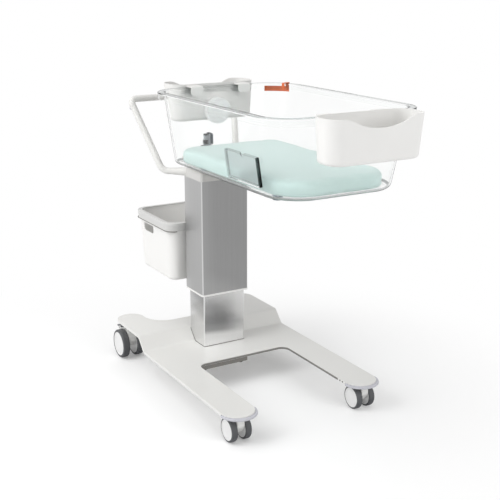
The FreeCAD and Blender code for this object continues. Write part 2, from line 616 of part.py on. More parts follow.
def tray_shape():
    """Tray in its own frame: hung face at x = 0, outer face towards +X, hooks towards -X."""
    draft = size("tray_draft")
    outer = lofted(tray_outline(0, draft), tray_low, tray_outline(0, 0), tray_top)
    outer = outer.makeFillet(size("tray_floor_round"), edges_at(outer, tray_low))
    low = tray_low + tray_wall
    inner = lofted(tray_outline(tray_wall, draft), low, tray_outline(tray_wall, 0), tray_top + 0.01)
    inner = inner.makeFillet(size("tray_floor_round") - tray_wall, edges_at(inner, low))
    tray = outer.cut(inner)
    smile_half, smile_low = size("smile_half_wide"), tray_top - size("smile_deep")
    smile_deep = size("smile_deep")
    bend_y, bend_rise = 0.62 * smile_half, 0.45 * smile_deep  # where the bow meets the shoulders
    bow = Part.Arc(Vector(0, -bend_y, smile_low + bend_rise), Vector(0, 0, smile_low),
                   Vector(0, bend_y, smile_low + bend_rise))
    shoulder = [Part.BezierCurve(), Part.BezierCurve()]
    for curve, side in zip(shoulder, (1, -1)):
        start = Vector(0, side * bend_y, smile_low + bend_rise)
        slant = Vector(0, side * (smile_half + bend_y) / 2 - side * smile_deep / 16,
                       tray_top - smile_deep * 0.22)
        curve.setPoles([start, slant, Vector(0, side * (smile_half - smile_deep / 2), tray_top),
                        Vector(0, side * smile_half, tray_top)])
    ends = [c.getPole(4) for c in shoulder]
    over = [p + Vector(0, 0, 5) for p in ends]
    loop = [bow, shoulder[0], Part.LineSegment(ends[0], over[0]), Part.LineSegment(over[0], over[1]),
            Part.LineSegment(over[1], ends[1]), shoulder[1]]
    wire = Part.Wire(Part.__sortEdges__([g.toShape() for g in loop]))
    smile = Part.Face(wire).extrude(Vector(tray_deep, 0, 0))
    smile.translate(Vector(tray_deep / 2, 0, 0))
    tray = tray.cut(smile)
    hook_low = rim_z + size("soft_gap")
    reach = lip + wall + size("hook_clear")
    for side in (-1, 1):
        profile = [(tray_wall / 2, hook_low, 0), (tray_wall / 2, hook_low + hook_thick, 0),
                   (-reach - hook_thick, hook_low + hook_thick, hook_thick),
                   (-reach - hook_thick, hook_low - size("hook_drop"), 0),
                   (-reach, hook_low - size("hook_drop"), 0), (-reach, hook_low, 1)]
        wire = Part.Wire([g.toShape() for g in rounded_path(profile)])
        wire.rotate(Vector(0, 0, 0), Vector(1, 0, 0), 90)
        hook = Part.Face(wire).extrude(Vector(0, 2 * hook_half, 0))
        tips = [e for e in hook.Edges if e.BoundBox.XLength > 1 and e.BoundBox.YLength < 1e-6
                and level(hook_low - size("hook_drop"))(e)]
        hook = hook.makeFillet(size("hook_round"), tips)
        hook.translate(Vector(0, side * size("hook_y") - hook_half, 0))
        tray = tray.fuse(hook)
    return tray.removeSplitter()


foot_tray = solid("foot_tray", tray_shape())
at(foot_tray, "sizes.tub_foot_x + sizes.soft_gap", "0", "0")
head_tray = solid("head_tray", tray_shape())
head_tray.Placement = Placement(Vector(), Rotation(Vector(0, 0, 1), 180))
at(head_tray, "sizes.tub_head_x - sizes.soft_gap", "0", "0")

# round spacer that keeps the head tray upright against the sloping head wall
spacer = new_body("tray_spacer")
pad_z = tray_low + size("pad_rise")
pad_thick = lip + size("head_draft") * (rim_z - pad_z - size("pad_tube")) / rise
pad(spacer, "YZ", [(0, pad_z, "sizes.pad_tube")], str(pad_thick), "sizes.tub_head_x - sizes.soft_gap")
pad_face = head_x - size("soft_gap") + pad_thick
rounded_edges(spacer, "edge_round", lambda e: abs(e.BoundBox.XMin - pad_face) < 1e-4)

# ---------------------------------------------------------------- card holder on the near side wall

slope = math.degrees(math.atan2(size("side_draft"), rise))
card_long, card_high, card_edge = size("card_long"), size("card_high"), size("card_edge")
card_thick = 2 * size("card_plate") + size("card_slot")
card = new_body("card_holder")
pad(card, "XZ", [rect(0, card_long, 0, card_high, 2)], "2 * sizes.card_plate + sizes.card_slot")
pocket(card, "XY", [rect(card_edge, card_long - card_edge, -card_thick + size("card_plate"),
                         -size("card_plate"))], "sizes.card_high - sizes.card_edge",
       "sizes.card_high")
pocket(card, "XZ", [(card_long / 2, card_high, "sizes.card_notch")],
       "2 * sizes.card_plate + 2 * sizes.card_slot", both=True)
card_y = -tub_half + lip + size("side_draft") * (rim_z - size("card_low")) / rise
card.Placement = Placement(Vector(size("card_back_x"), card_y - size("soft_gap"), size("card_low")),
                           Rotation(Vector(1, 0, 0), slope))

# ---------------------------------------------------------------- orange clip over the far head corner

clip_thick, soft_gap = size("clip_thick"), size("soft_gap")
clip_low, clip_top = rim_z - size("clip_drop"), rim_z + soft_gap + clip_thick
leg_low = rim_z - size("strap_leg")
corner_out = head_round + soft_gap
corner_in = head_round - lip - wall - size("strap_gap")


def swept_round(profile, degrees):
    """A profile (radius, z, corner radius) turned about Z."""
    wire = Part.Wire([g.toShape() for g in rounded_path(profile)])
    wire.rotate(Vector(), Vector(1, 0, 0), 90)
    return Part.Face(wire).revolve(Vector(), Vector(0, 0, 1), degrees)


band = swept_round([(corner_out, clip_low, 0), (corner_out + clip_thick, clip_low, 1),
                    (corner_out + clip_thick, clip_low + size("clip_band"), 1),
                    (corner_out, clip_low + size("clip_band"), 0)], size("clip_angle"))
strap = swept_round([(corner_out + clip_thick, clip_low, 0), (corner_out + clip_thick, clip_top, 1.5),
                     (corner_in - clip_thick, clip_top, 1.5), (corner_in - clip_thick, leg_low, 0),
                     (corner_in, leg_low, 0), (corner_in, rim_z + soft_gap, 0),
                     (corner_out, rim_z + soft_gap, 0), (corner_out, clip_low, 0)], size("strap_angle"))
corner_clip = solid("corner_clip", band.fuse(strap).removeSplitter())
corner_clip.Placement = Placement(Vector(head_x + head_round, tub_half - head_round, 0),
                                  Rotation(Vector(0, 0, 1), size("clip_start")))

# ---------------------------------------------------------------- bin behind the column

bin_front, bin_back, bin_half = size("bin_front_x"), size("bin_back_x"), size("bin_half_wide")
bin_top, bin_low, bin_round = size("bin_top"), size("bin_low"), size("bin_round")
collar_wall, bin_wall = size("collar_wall"), size("bin_wall")


def bin_outline(inset):
    return rect(bin_back + inset, bin_front - inset, -bin_half + inset, bin_half - inset,
                bin_round - inset * 0.6)


collar_low, tier_low = bin_top - size("collar_deep"), bin_top - size("collar_tier")
collar_step = size("collar_step")
collar = slab(bin_outline(0), tier_low, bin_top)
collar = collar.makeFillet(size("edge_round"), edges_at(collar, bin_top))
collar = collar.fuse(slab(bin_outline(collar_step), collar_low, tier_low))
collar = collar.cut(slab(bin_outline(size("collar_lip")), collar_low - 1, bin_top + 1))
collar = collar.cut(slab(bin_outline(collar_step + collar_wall), collar_low - 1, bin_top - collar_wall))
collar = collar.removeSplitter()
solid("bin_collar", collar)

shell_top, inset, draft = bin_top - collar_wall, size("bin_inset"), size("bin_draft")
shell = lofted(bin_outline(inset + draft), bin_low, bin_outline(inset), shell_top)
shell = shell.makeFillet(size("bin_floor_round"), edges_at(shell, bin_low))
hollow = lofted(bin_outline(inset + draft + bin_wall), bin_low + bin_wall,
                bin_outline(inset + bin_wall), shell_top + 0.01)
hollow = hollow.makeFillet(size("bin_floor_round") - bin_wall, edges_at(hollow, bin_low + bin_wall))
shell = shell.cut(hollow)
grip_half, grip_high = size("grip_long") / 2, size("grip_high")
grip = rounded_path([(-grip_half, -grip_high / 2, 9), (grip_half, -grip_high / 2, 9),
                     (grip_half, grip_high / 2, 5), (-grip_half, grip_high / 2, 5)])
wire = Part.Wire([g.toShape() for g in grip])
wire.rotate(Vector(), Vector(1, 0, 0), 90)
grip_cut = Part.Face(wire).extrude(Vector(0, 4 * bin_half, 0))
grip_cut.translate(Vector(size("grip_x"), -2 * bin_half, size("grip_z")))
solid("bin_shell", shell.cut(grip_cut))

# hanger on the column: back plate, a lip inside the bin's collar and a spacer at its foot
hanger = new_body("bin_hanger")
hanger_half, column_back = size("hanger_half_wide"), -outer_long / 2
lip_x = bin_front - collar_step - collar_wall - size("side_gap")
pad(hanger, "XY", [rect(column_back - size("hanger_thick"), column_back, -hanger_half, hanger_half)],
    "sizes.bin_top - sizes.collar_deep - sizes.side_gap - sizes.hanger_low", "sizes.hanger_low")
shelf_high = collar_low - size("side_gap")
pad(hanger, "XY", [rect(lip_x - size("hanger_lip"), column_back, -hanger_half, hanger_half)],
    "sizes.hanger_thick", "sizes.bin_top - sizes.collar_deep - sizes.side_gap - sizes.hanger_thick")
pad(hanger, "XY", [rect(lip_x - size("hanger_lip"), lip_x, -hanger_half, hanger_half)],
    "sizes.collar_deep - sizes.collar_wall", "sizes.bin_top - sizes.collar_deep - sizes.side_gap")
wall_share = (size("hanger_low") + size("spacer_high") - bin_low) / (shell_top - bin_low)
spacer_x = bin_front - inset - draft * (1 - wall_share) + size("side_gap")
pad(hanger, "XY", [rect(spacer_x, column_back, -hanger_half / 2, hanger_half / 2)],
    "sizes.spacer_high", "sizes.hanger_low")

# ---------------------------------------------------------------- casters

caster_x = {"front": "(sizes.leg_tip_x - sizes.front_caster_in)",
            "rear": "(sizes.rear_tip_x + sizes.rear_caster_in)"}
caster_y = {"front": "((sizes.base_half_wide + sizes.leg_inner_y) / 2 + sizes.front_caster_out)",
            "rear": "((sizes.base_half_wide + sizes.rear_gap_y) / 2 + sizes.rear_caster_out)"}
plate_under = {"front": "(sizes.plate_low - sizes.plate_thick)",
               "rear": "(sizes.plate_high - sizes.plate_thick)"}
mounts = new_body("caster_mounts")


def mirrored_profile(profile):
    return [(-y, z, r) for y, z, r in reversed(profile)]


NOSE = (0.78, 0.35)  # where the tongue between the wheels stands out most, in wheel radii


def turned(radius, degrees):
    return Vector(radius * math.cos(math.radians(degrees)), radius * math.sin(math.radians(degrees)), 0)


def caster(place, end, side, braked):
    """One twin-wheel caster; every body is drawn about the axle's middle, then placed."""
    wheel, tread, arm = (size(end + k) for k in ("_wheel", "_tread", "_arm"))
    under = float(sheet.evalExpression(plate_under[end].replace("sizes.", "")))
    trail, axle, shaft_gap = size("caster_trail"), size("axle_tube"), size("shaft_gap")
    where = (caster_x[end] + " - sizes.caster_trail", f"{side} * {caster_y[end]}",
             f"sizes.{end}_wheel")
    inner_y = arm / 2 + size("wheel_gap")
    face_y = inner_y + tread
    hub = wheel * size("hub_share")
    boss = size("stem_tube") + size("boss_wall")
    boss_top = under - size("mount_disc_thick") - wheel - side_gap
    hood_in = wheel + size("hood_gap")
    hood_out = hood_in + size("hood_thick")
    around = axle + size("axle_wall")
    lug_wide = size("pedal_wide") + 2 * side_gap

    body = new_body(f"{place}_caster_body")
    nose_x, nose_z = wheel * NOSE[0], wheel * NOSE[1]
    tongue = [(-around, -around, around - 1), (around, -around, around - 1),
              (nose_x, nose_z, wheel / 2), (trail + boss, hood_in, wheel / 8),
              (trail - boss, hood_in, 0), (-around, nose_z, wheel / 4)]
    pad(body, "XZ", [tongue], f"sizes.{end}_arm", both=True)
    pad(body, "XY", [(trail, 0, "sizes.stem_tube + sizes.boss_wall")], str(boss_top - hood_in),
        str(hood_in))
    pedal_hub = size("pedal_pin") + size("pedal_hub_wall")
    pivot = turned(hood_out + pedal_hub + size("wheel_gap") / 2, size("pedal_angle"))
    if braked:
        hood_low, hood_high = size("hood_low_angle"), size("hood_high_angle")
        for inner, wide in ((axle, arm), (hood_in, lug_wide + 2 * size("lug_thick"))):
            spread = [turned(radius, a) for radius in (inner, hood_out)
                      for a in (hood_low, (hood_low + hood_high) / 2, hood_high)]
            sector = add_sketch(body, "XZ", [])
            sector.addGeometry([Part.Arc(*spread[:3]), Part.LineSegment(spread[2], spread[5]),
                                Part.Arc(spread[5], spread[4], spread[3]),
                                Part.LineSegment(spread[3], spread[0])], False)
            feature(body, "Pad", sector, str(wide), both=True)
        pedal_angle, spread_angle = size("pedal_angle"), size("lug_angle") / 2
        lug = [turned(hood_out - 1, pedal_angle - spread_angle),
               turned(hood_out - 1, pedal_angle + spread_angle),
               pivot + turned(pedal_hub + size("lug_wall"), pedal_angle + 45),
               pivot + turned(pedal_hub + size("lug_wall"), pedal_angle - 45)]
        lug = [(p.x, p.y, r) for p, r in zip(lug, (0, 0, size("lug_round"), size("lug_round")))]
        pad(body, "XZ", [lug], str(size("lug_thick")), str(lug_wide / 2))
        pad(body, "XZ", [lug], str(size("lug_thick")), str(-lug_wide / 2 - size("lug_thick")))
        pocket(body, "XZ", [(pivot.x, pivot.y, "sizes.pedal_pin + sizes.shaft_gap")],
               "2 * sizes.pedal_wide", both=True)
    pocket(body, "XZ", [(0, 0, "sizes.axle_tube")], f"2 * sizes.{end}_arm", both=True)
    pocket(body, "XY", [(trail, 0, "sizes.stem_tube + sizes.shaft_gap")],
           "sizes.stem_long + 1", str(boss_top))
    at(body, *where)

    socket_end = face_y - size("hub_web")
    shaft_end = socket_end - size("wheel_gap")
    shaft = new_body(f"{place}_caster_axle")
    pad(shaft, "XZ", [(0, 0, "sizes.axle_tube")], str(2 * shaft_end), both=True)
    at(shaft, *where)

    relief, ring_wide = size("hub_relief"), size("hub_ring")
    hub_outline = [(inner_y + side_gap, axle + shaft_gap, 0), (socket_end, axle + shaft_gap, 0),
                   (socket_end, 0, 0), (face_y, 0, 0), (face_y, hub - 3 * ring_wide, relief),
                   (face_y - relief, hub - 2 * ring_wide, 0), (face_y - relief, hub - ring_wide, 0),
                   (face_y, hub - ring_wide + relief, 0), (face_y - side_gap, hub, 0),
                   (inner_y + side_gap, hub, 0)]
    tyre_outline = [(inner_y, hub, 0), (face_y, hub, 0), (face_y, wheel, size("tyre_round")),
                    (inner_y, wheel, size("tyre_round"))]
    for hand, flip in (("outer", side < 0), ("inner", side > 0)):
        for piece, outline in (("hub", hub_outline), ("tyre", tyre_outline)):
            outline = mirrored_profile(outline) if flip else outline
            item = revolved(f"{place}_{hand}_{piece}", outline)
            at(item, *where)

    if braked:
        pedal = new_body(f"{place}_brake_pedal")
        half = size("pedal_thick") / 2
        paddle = [(pivot.x - size("pedal_long"), pivot.y - half, 2), (pivot.x, pivot.y - half, 0),
                  (pivot.x, pivot.y + half, 0), (pivot.x - size("pedal_long"), pivot.y + half, 2)]
        pad(pedal, "XZ", [(pivot.x, pivot.y, "sizes.pedal_pin + sizes.pedal_hub_wall")],
            "sizes.pedal_wide", both=True)
        pad(pedal, "XZ", [paddle], "sizes.pedal_wide", both=True)
        pad(pedal, "XZ", [(pivot.x, pivot.y, "sizes.pedal_pin")],
            "sizes.pedal_wide + 2 * sizes.side_gap + 2 * sizes.lug_thick", both=True)
        at(pedal, *where)


caster("front_right", "front", -1, False)
caster("front_left", "front", 1, True)
caster("rear_right", "rear", -1, True)
caster("rear_left", "rear", 1, False)

for end, under in plate_under.items():
    x, y = (float(sheet.evalExpression(rules[end].replace("sizes.", ""))) for rules in (caster_x, caster_y))
    pad(mounts, "XY", [(x, side * y, "sizes.mount_disc") for side in (-1, 1)],
        "sizes.mount_disc_thick", under + " - sizes.mount_disc_thick")
    pad(mounts, "XY", [(x, side * y, "sizes.stem_tube") for side in (-1, 1)],
        "sizes.stem_long", under + " - sizes.mount_disc_thick - sizes.stem_long")

# ---------------------------------------------------------------- check and write

doc.recompute()
for item in doc.Objects:
    if "Invalid" in item.State or "Error" in item.State:
        raise RuntimeError(f"{item.Name} failed: {item.State}")
names = [item.Label for item in nodes]
if len(set(names)) != len(names):
    raise RuntimeError("two pieces share a name")
for item in nodes:
    shape = item.Shape
    if shape.isNull() or not shape.isValid() or shape.Volume <= 0:
        raise RuntimeError(f"{item.Label} has no valid shape")
    shape.exportStep(f"parts/{item.Label}.step")
print(f"{len(nodes)} pieces written")
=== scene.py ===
import bpy
import json
import math
import numpy as np
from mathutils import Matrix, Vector


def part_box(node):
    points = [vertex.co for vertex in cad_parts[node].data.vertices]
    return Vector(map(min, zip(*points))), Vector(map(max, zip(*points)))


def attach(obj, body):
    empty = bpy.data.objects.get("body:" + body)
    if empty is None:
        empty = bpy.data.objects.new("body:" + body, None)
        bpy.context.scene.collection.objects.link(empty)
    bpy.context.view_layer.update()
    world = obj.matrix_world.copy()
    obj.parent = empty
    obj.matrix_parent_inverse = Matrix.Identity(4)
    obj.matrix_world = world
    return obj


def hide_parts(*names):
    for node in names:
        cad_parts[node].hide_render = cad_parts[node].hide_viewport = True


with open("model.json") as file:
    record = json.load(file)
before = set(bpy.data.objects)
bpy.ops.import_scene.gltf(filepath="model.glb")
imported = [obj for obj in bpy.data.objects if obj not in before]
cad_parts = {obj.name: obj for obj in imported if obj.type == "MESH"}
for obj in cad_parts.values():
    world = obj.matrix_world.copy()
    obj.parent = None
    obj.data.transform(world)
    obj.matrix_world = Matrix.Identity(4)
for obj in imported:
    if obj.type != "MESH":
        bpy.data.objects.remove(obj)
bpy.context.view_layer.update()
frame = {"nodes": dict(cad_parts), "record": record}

# Hospital bassinet: finishes for the solids, a soft mattress, dark strips of painted shade at the base's opening
# and under the bin's collar, and the small seals, screws and lever parts.
# Metres, +Z up, +X towards the foot end.

nodes = frame["nodes"]
print("frame loaded:", len(nodes), "pieces")


def makeGroup(name, inputs, outputs):
    # an empty shader group; inputs are (name, kind, default), outputs are (name, kind)
    group = bpy.data.node_groups.new(name, "ShaderNodeTree")
    for label, kind, default in inputs:
        socket = group.interface.new_socket(name=label, in_out="INPUT", socket_type="NodeSocket" + kind)
        if default is not None:
            socket.default_value = default
    for label, kind in outputs:
        group.interface.new_socket(name=label, in_out="OUTPUT", socket_type="NodeSocket" + kind)
    return group, group.nodes.new("NodeGroupInput"), group.nodes.new("NodeGroupOutput")


def addNode(tree, kind, values=None, **settings):
    # a node with its settings; each value fills or links the socket of that name or number
    node = tree.nodes.new("ShaderNode" + kind)
    for key, value in settings.items():
        setattr(node, key, value)
    for key, value in (values or {}).items():
        if isinstance(value, bpy.types.NodeSocket):
            tree.links.new(value, node.inputs[key])
        else:
            node.inputs[key].default_value = value
    return node


def mathNode(tree, operation, a, b=0.0, clamp=False):
    # one step of arithmetic on a and b
    return addNode(tree, "Math", {0: a, 1: b}, operation=operation, use_clamp=clamp).outputs[0]


def spread(tree, value, low, high):
    # low + value * (high - low), for a value from 0 to 1
    return addNode(tree, "MapRange", {"Value": value, "To Min": low, "To Max": high}).outputs["Result"]


def tinted(tree, value, dark, light):
    # dark + value * (light - dark), channel by channel
    node = addNode(tree, "Mix", data_type="RGBA")
    tree.links.new(value, node.inputs["Factor"])
    node.inputs["A"].default_value = (*dark, 1)
    node.inputs["B"].default_value = (*light, 1)
    return node.outputs["Result"]


def buildGrain():
    # skin of a coated or moulded surface: fine noise is the height of the bump, broad noise is the tone
    group, start, end = makeGroup(
        "surfaceSkin",
        [("Vector", "Vector", None), ("Fine Scale", "Float", 900.0), ("Broad Scale", "Float", 6.0),
         ("Depth", "Float", 0.1)],
        [("Tone", "Float"), ("Fine", "Float"), ("Normal", "Vector")])
    fine = addNode(group, "TexNoise", {"Vector": start.outputs["Vector"], "Scale": start.outputs["Fine Scale"],
                                       "Detail": 2.0, "Roughness": 0.6})
    broad = addNode(group, "TexNoise", {"Vector": start.outputs["Vector"],
                                        "Scale": start.outputs["Broad Scale"], "Detail": 4.0})
    bump = addNode(group, "Bump", {"Height": fine.outputs["Fac"], "Strength": start.outputs["Depth"],
                                   "Distance": 0.0004})
    group.links.new(broad.outputs["Fac"], end.inputs["Tone"])
    group.links.new(fine.outputs["Fac"], end.inputs["Fine"])
    group.links.new(bump.outputs["Normal"], end.inputs["Normal"])
    return group


def buildDust():
    # settled dust: mask = (how far the face looks up) * noise * Amount, and it mixes in the dust colour
    group, start, end = makeGroup(
        "settledDust",
        [("Color", "Color", None), ("Vector", "Vector", None), ("Amount", "Float", 0.1),
         ("Dust Color", "Color", (0.62, 0.6, 0.56, 1))],
        [("Color", "Color"), ("Mask", "Float")])
    facing = addNode(group, "SeparateXYZ", {0: addNode(group, "NewGeometry").outputs["Normal"]})
    cloud = addNode(group, "TexNoise", {"Vector": start.outputs["Vector"], "Scale": 14.0, "Detail": 6.0})
    upward = addNode(group, "MapRange", {"Value": facing.outputs["Z"], "From Min": -0.2, "From Max": 1.0,
                                         "To Min": 0.25, "To Max": 1.0}).outputs["Result"]
    mask = mathNode(group, "MULTIPLY", mathNode(group, "MULTIPLY", upward, cloud.outputs["Fac"]),
                    start.outputs["Amount"], clamp=True)
    mix = addNode(group, "Mix", data_type="RGBA")
    group.links.new(mask, mix.inputs["Factor"])
    group.links.new(start.outputs["Color"], mix.inputs["A"])
    group.links.new(start.outputs["Dust Color"], mix.inputs["B"])
    group.links.new(mix.outputs["Result"], end.inputs["Color"])
    group.links.new(mask, end.inputs["Mask"])
    return group


def buildBrush():
    # brushed metal: noise read at place * Stretch, so it is drawn out along one axis, fine and coarse
    group, start, end = makeGroup(
        "brushLines",
        [("Vector", "Vector", None), ("Stretch", "Vector", (1.0, 1.0, 0.01)), ("Scale", "Float", 1400.0),
         ("Depth", "Float", 0.1)],
        [("Streak", "Float"), ("Coarse", "Float"), ("Normal", "Vector")])
    drawn = addNode(group, "VectorMath", {0: start.outputs["Vector"], 1: start.outputs["Stretch"]},
                    operation="MULTIPLY").outputs[0]
    fine = addNode(group, "TexNoise", {"Vector": drawn, "Scale": start.outputs["Scale"], "Detail": 3.0})
    wide = addNode(group, "TexNoise", {"Vector": drawn, "Detail": 2.0,
                                       "Scale": mathNode(group, "MULTIPLY", start.outputs["Scale"], 0.12)})
    bump = addNode(group, "Bump", {"Height": fine.outputs["Fac"], "Strength": start.outputs["Depth"],
                                   "Distance": 0.0002})
    group.links.new(fine.outputs["Fac"], end.inputs["Streak"])
    group.links.new(wide.outputs["Fac"], end.inputs["Coarse"])
    group.links.new(bump.outputs["Normal"], end.inputs["Normal"])
    return group


def buildEdgeShadeBand():
    # mask for painted edge shade: 1 where |normal . Along| lies between Low and High, with soft ends, times Amount;
    # up to Start X the mask is taken times Before
    steep = 8.0  # how fast the ends of the band come in
    group, start, end = makeGroup(
        "paintedEdgeShadeBand", [("Along", "Vector", (0.0, 1.0, 0.0)), ("Low", "Float", -1.0), ("High", "Float", 0.5),
                     ("Amount", "Float", 1.0), ("Vector", "Vector", None), ("Start X", "Float", -10.0),
                     ("Before", "Float", 1.0)], [("Mask", "Float")])
    lean = addNode(group, "VectorMath", {0: addNode(group, "NewGeometry").outputs["Normal"],
                                         1: start.outputs["Along"]}, operation="DOT_PRODUCT").outputs["Value"]
    flat = mathNode(group, "ABSOLUTE", lean)
    up = mathNode(group, "MULTIPLY", mathNode(group, "SUBTRACT", flat, start.outputs["Low"]), steep, clamp=True)
    down = mathNode(group, "MULTIPLY", mathNode(group, "SUBTRACT", start.outputs["High"], flat), steep,
                    clamp=True)
    mask = mathNode(group, "MULTIPLY", mathNode(group, "MULTIPLY", up, down), start.outputs["Amount"])
    along = addNode(group, "SeparateXYZ", {0: start.outputs["Vector"]}).outputs["X"]
    past = mathNode(group, "GREATER_THAN", along, start.outputs["Start X"])
    share = mathNode(group, "MAXIMUM", past, start.outputs["Before"])
    group.links.new(mathNode(group, "MULTIPLY", mask, share), end.inputs["Mask"])
    return group


def buildPaintedFaceShade():
    # painted shade and painted reflection on the flat faces: mixes Face over Color by how far normal . Toward is
    # past the band's low end, so that only the flat faces that point along Toward take it and the rounded corners
    # are left
    group, start, end = makeGroup(
        "paintedFaceShade",
        [("Color", "Color", None), ("Face", "Color", None), ("Toward", "Vector", (1.0, 0.0, 0.0))],
        [("Color", "Color")])
    lean = addNode(group, "VectorMath", {0: addNode(group, "NewGeometry").outputs["Normal"],
                                         1: start.outputs["Toward"]}, operation="DOT_PRODUCT").outputs["Value"]
    mask = addNode(group, "MapRange", {"Value": lean, "From Min": 0.72, "From Max": 0.96},
                   interpolation_type="SMOOTHSTEP").outputs["Result"]
    mix = addNode(group, "Mix", data_type="RGBA")
    group.links.new(mask, mix.inputs["Factor"])
    group.links.new(start.outputs["Color"], mix.inputs["A"])
    group.links.new(start.outputs["Face"], mix.inputs["B"])
    group.links.new(mix.outputs["Result"], end.inputs["Color"])
    return group


skinGroup, dustGroup, brushGroup = buildGrain(), buildDust(), buildBrush()
edgeShadeGroup, paintedShadeGroup = buildEdgeShadeBand(), buildPaintedFaceShade()


def startMaterial(name, sockets):
    # a material with its Principled BSDF, and the place in the object's own coordinates
    material = bpy.data.materials.new(name)
    material.use_nodes = True
    tree = material.node_tree
    shader = tree.nodes["Principled BSDF"]
    for key, value in sockets.items():
        shader.inputs[key].default_value = value
    place = addNode(tree, "TexCoord").outputs["Object"]
    return material, tree, shader, place


def useGroup(tree, group, values):
    # a group placed in a tree, with its own values or links
    node = tree.nodes.new("ShaderNodeGroup")
    node.node_tree = group
    for key, value in values.items():
        if isinstance(value, bpy.types.NodeSocket):
            tree.links.new(value, node.inputs[key])
        else:
            node.inputs[key].default_value = value
    return node


def skinMaterial(name, look):
    # painted, moulded or rubber surface: colour by the broad tone, roughness = skin + share * dust
    dustRough = 0.3
    material, tree, shader, place = startMaterial(name, look["sockets"])
    skin = useGroup(tree, skinGroup, {"Vector": place, "Fine Scale": look["fine"], "Broad Scale": look["broad"],
                                      "Depth": look["depth"]})
    color = tinted(tree, skin.outputs["Tone"], look["dark"], look["light"])
    dust = useGroup(tree, dustGroup, {"Color": color, "Vector": place, "Amount": look["dust"]})
    rough = spread(tree, skin.outputs["Fine"], *look["rough"])
    rough = mathNode(tree, "ADD", rough, mathNode(tree, "MULTIPLY", dust.outputs["Mask"], dustRough))
    tree.links.new(dust.outputs["Color"], shader.inputs["Base Color"])
    tree.links.new(rough, shader.inputs["Roughness"])
    tree.links.new(skin.outputs["Normal"], shader.inputs["Normal"])
    return material


def paintedFaceShadeColor(tree, place, streak, across, rows):
    # painted shade and painted reflection for one face of a metal column: grey = ramp(height + slope * place along
    # the axis), with rows of (height, grey); between start and end along the axis it gives way to the side grey, by
    # up to the given share
    tones = (0.88, 1.12)  # the streak's darkest and lightest share of the grey
    axis, slope, start, end, most, side = across
    axes = addNode(tree, "SeparateXYZ", {0: place})
    lean = mathNode(tree, "MULTIPLY", axes.outputs[axis], slope)
    height = mathNode(tree, "ADD", axes.outputs["Z"], lean)
    low, high = rows[0][0], rows[-1][0]
    share = addNode(tree, "MapRange", {"Value": height, "From Min": low, "From Max": high}).outputs["Result"]
    ramp = addNode(tree, "ValToRGB", {"Fac": share})
    ramp.color_ramp.interpolation = "EASE"
    stops = ramp.color_ramp.elements
    while len(stops) < len(rows):
        stops.new(0.5)
    for stop, (z, grey) in zip(stops, rows):
        stop.position = (z - low) / (high - low)
        stop.color = (grey, grey, grey, 1)
    fade = addNode(tree, "MapRange", {"Value": axes.outputs[axis], "From Min": start, "From Max": end,
                                      "To Max": most}, interpolation_type="SMOOTHSTEP").outputs["Result"]
    mix = addNode(tree, "Mix", {"Factor": fade}, data_type="RGBA")
    tree.links.new(ramp.outputs["Color"], mix.inputs["A"])
    mix.inputs["B"].default_value = (side, side, side, 1)
    tone = spread(tree, streak, *tones)
    return addNode(tree, "VectorMath", {0: mix.outputs["Result"], "Scale": tone}, operation="SCALE").outputs[0]


def metalMaterial(name, look):
    # brushed or drawn metal: streak = share * fine + (1 - share) * coarse, in colour and roughness;
    # each entry in faces paints shade and reflection on the flat faces that point its way
    fineShare = 0.6
    material, tree, shader, place = startMaterial(name, {"Metallic": 1.0, **look["sockets"]})
    brush = useGroup(tree, brushGroup, {"Vector": place, "Stretch": look["stretch"], "Scale": look["scale"],
                                        "Depth": look["depth"]})
    streak = mathNode(tree, "ADD", mathNode(tree, "MULTIPLY", brush.outputs["Streak"], fineShare),
                      mathNode(tree, "MULTIPLY", brush.outputs["Coarse"], 1 - fineShare))
    color = tinted(tree, streak, look["dark"], look["light"])
    for toward, across, rows in look.get("faces", []):
        paintedFace = paintedFaceShadeColor(tree, place, streak, across, rows)
        color = useGroup(tree, paintedShadeGroup, {"Color": color, "Face": paintedFace, "Toward": toward}).outputs["Color"]
    tree.links.new(color, shader.inputs["Base Color"])
    tree.links.new(spread(tree, streak, *look["rough"]), shader.inputs["Roughness"])
    tree.links.new(brush.outputs["Normal"], shader.inputs["Normal"])
    return material


def paintedEdgeDiscMaterial(look):
    # moulded disc: the skin's colour times ramp(distance from the axis / radius), which paints a bright highlight
    # on the rolled edge and a thin grey line of shade inside it
    material = skinMaterial("spacerPlastic", look)
    tree = material.node_tree
    shader = tree.nodes["Principled BSDF"]
    place = addNode(tree, "TexCoord").outputs["Object"]
    flat = addNode(tree, "VectorMath", {0: place, 1: (0.0, 1.0, 1.0)}, operation="MULTIPLY").outputs[0]
    away = addNode(tree, "VectorMath", {0: flat, 1: (0.0, *look["axis"])}, operation="DISTANCE").outputs["Value"]
    ramp = addNode(tree, "ValToRGB", {"Fac": mathNode(tree, "MULTIPLY", away, 1 / look["radius"])})
    ramp.color_ramp.interpolation = "LINEAR"
    stops = ramp.color_ramp.elements
    while len(stops) < len(look["rings"]):
        stops.new(0.5)
    for stop, (share, grey) in zip(stops, look["rings"]):
        stop.position, stop.color = share, (grey, grey, grey, 1)
    mix = addNode(tree, "Mix", {"Factor": 1.0}, data_type="RGBA", blend_type="MULTIPLY")
    tree.links.new(shader.inputs["Base Color"].links[0].from_socket, mix.inputs["A"])
    tree.links.new(ramp.outputs["Color"], mix.inputs["B"])
    tree.links.new(mix.outputs["Result"], shader.inputs["Base Color"])
    return material


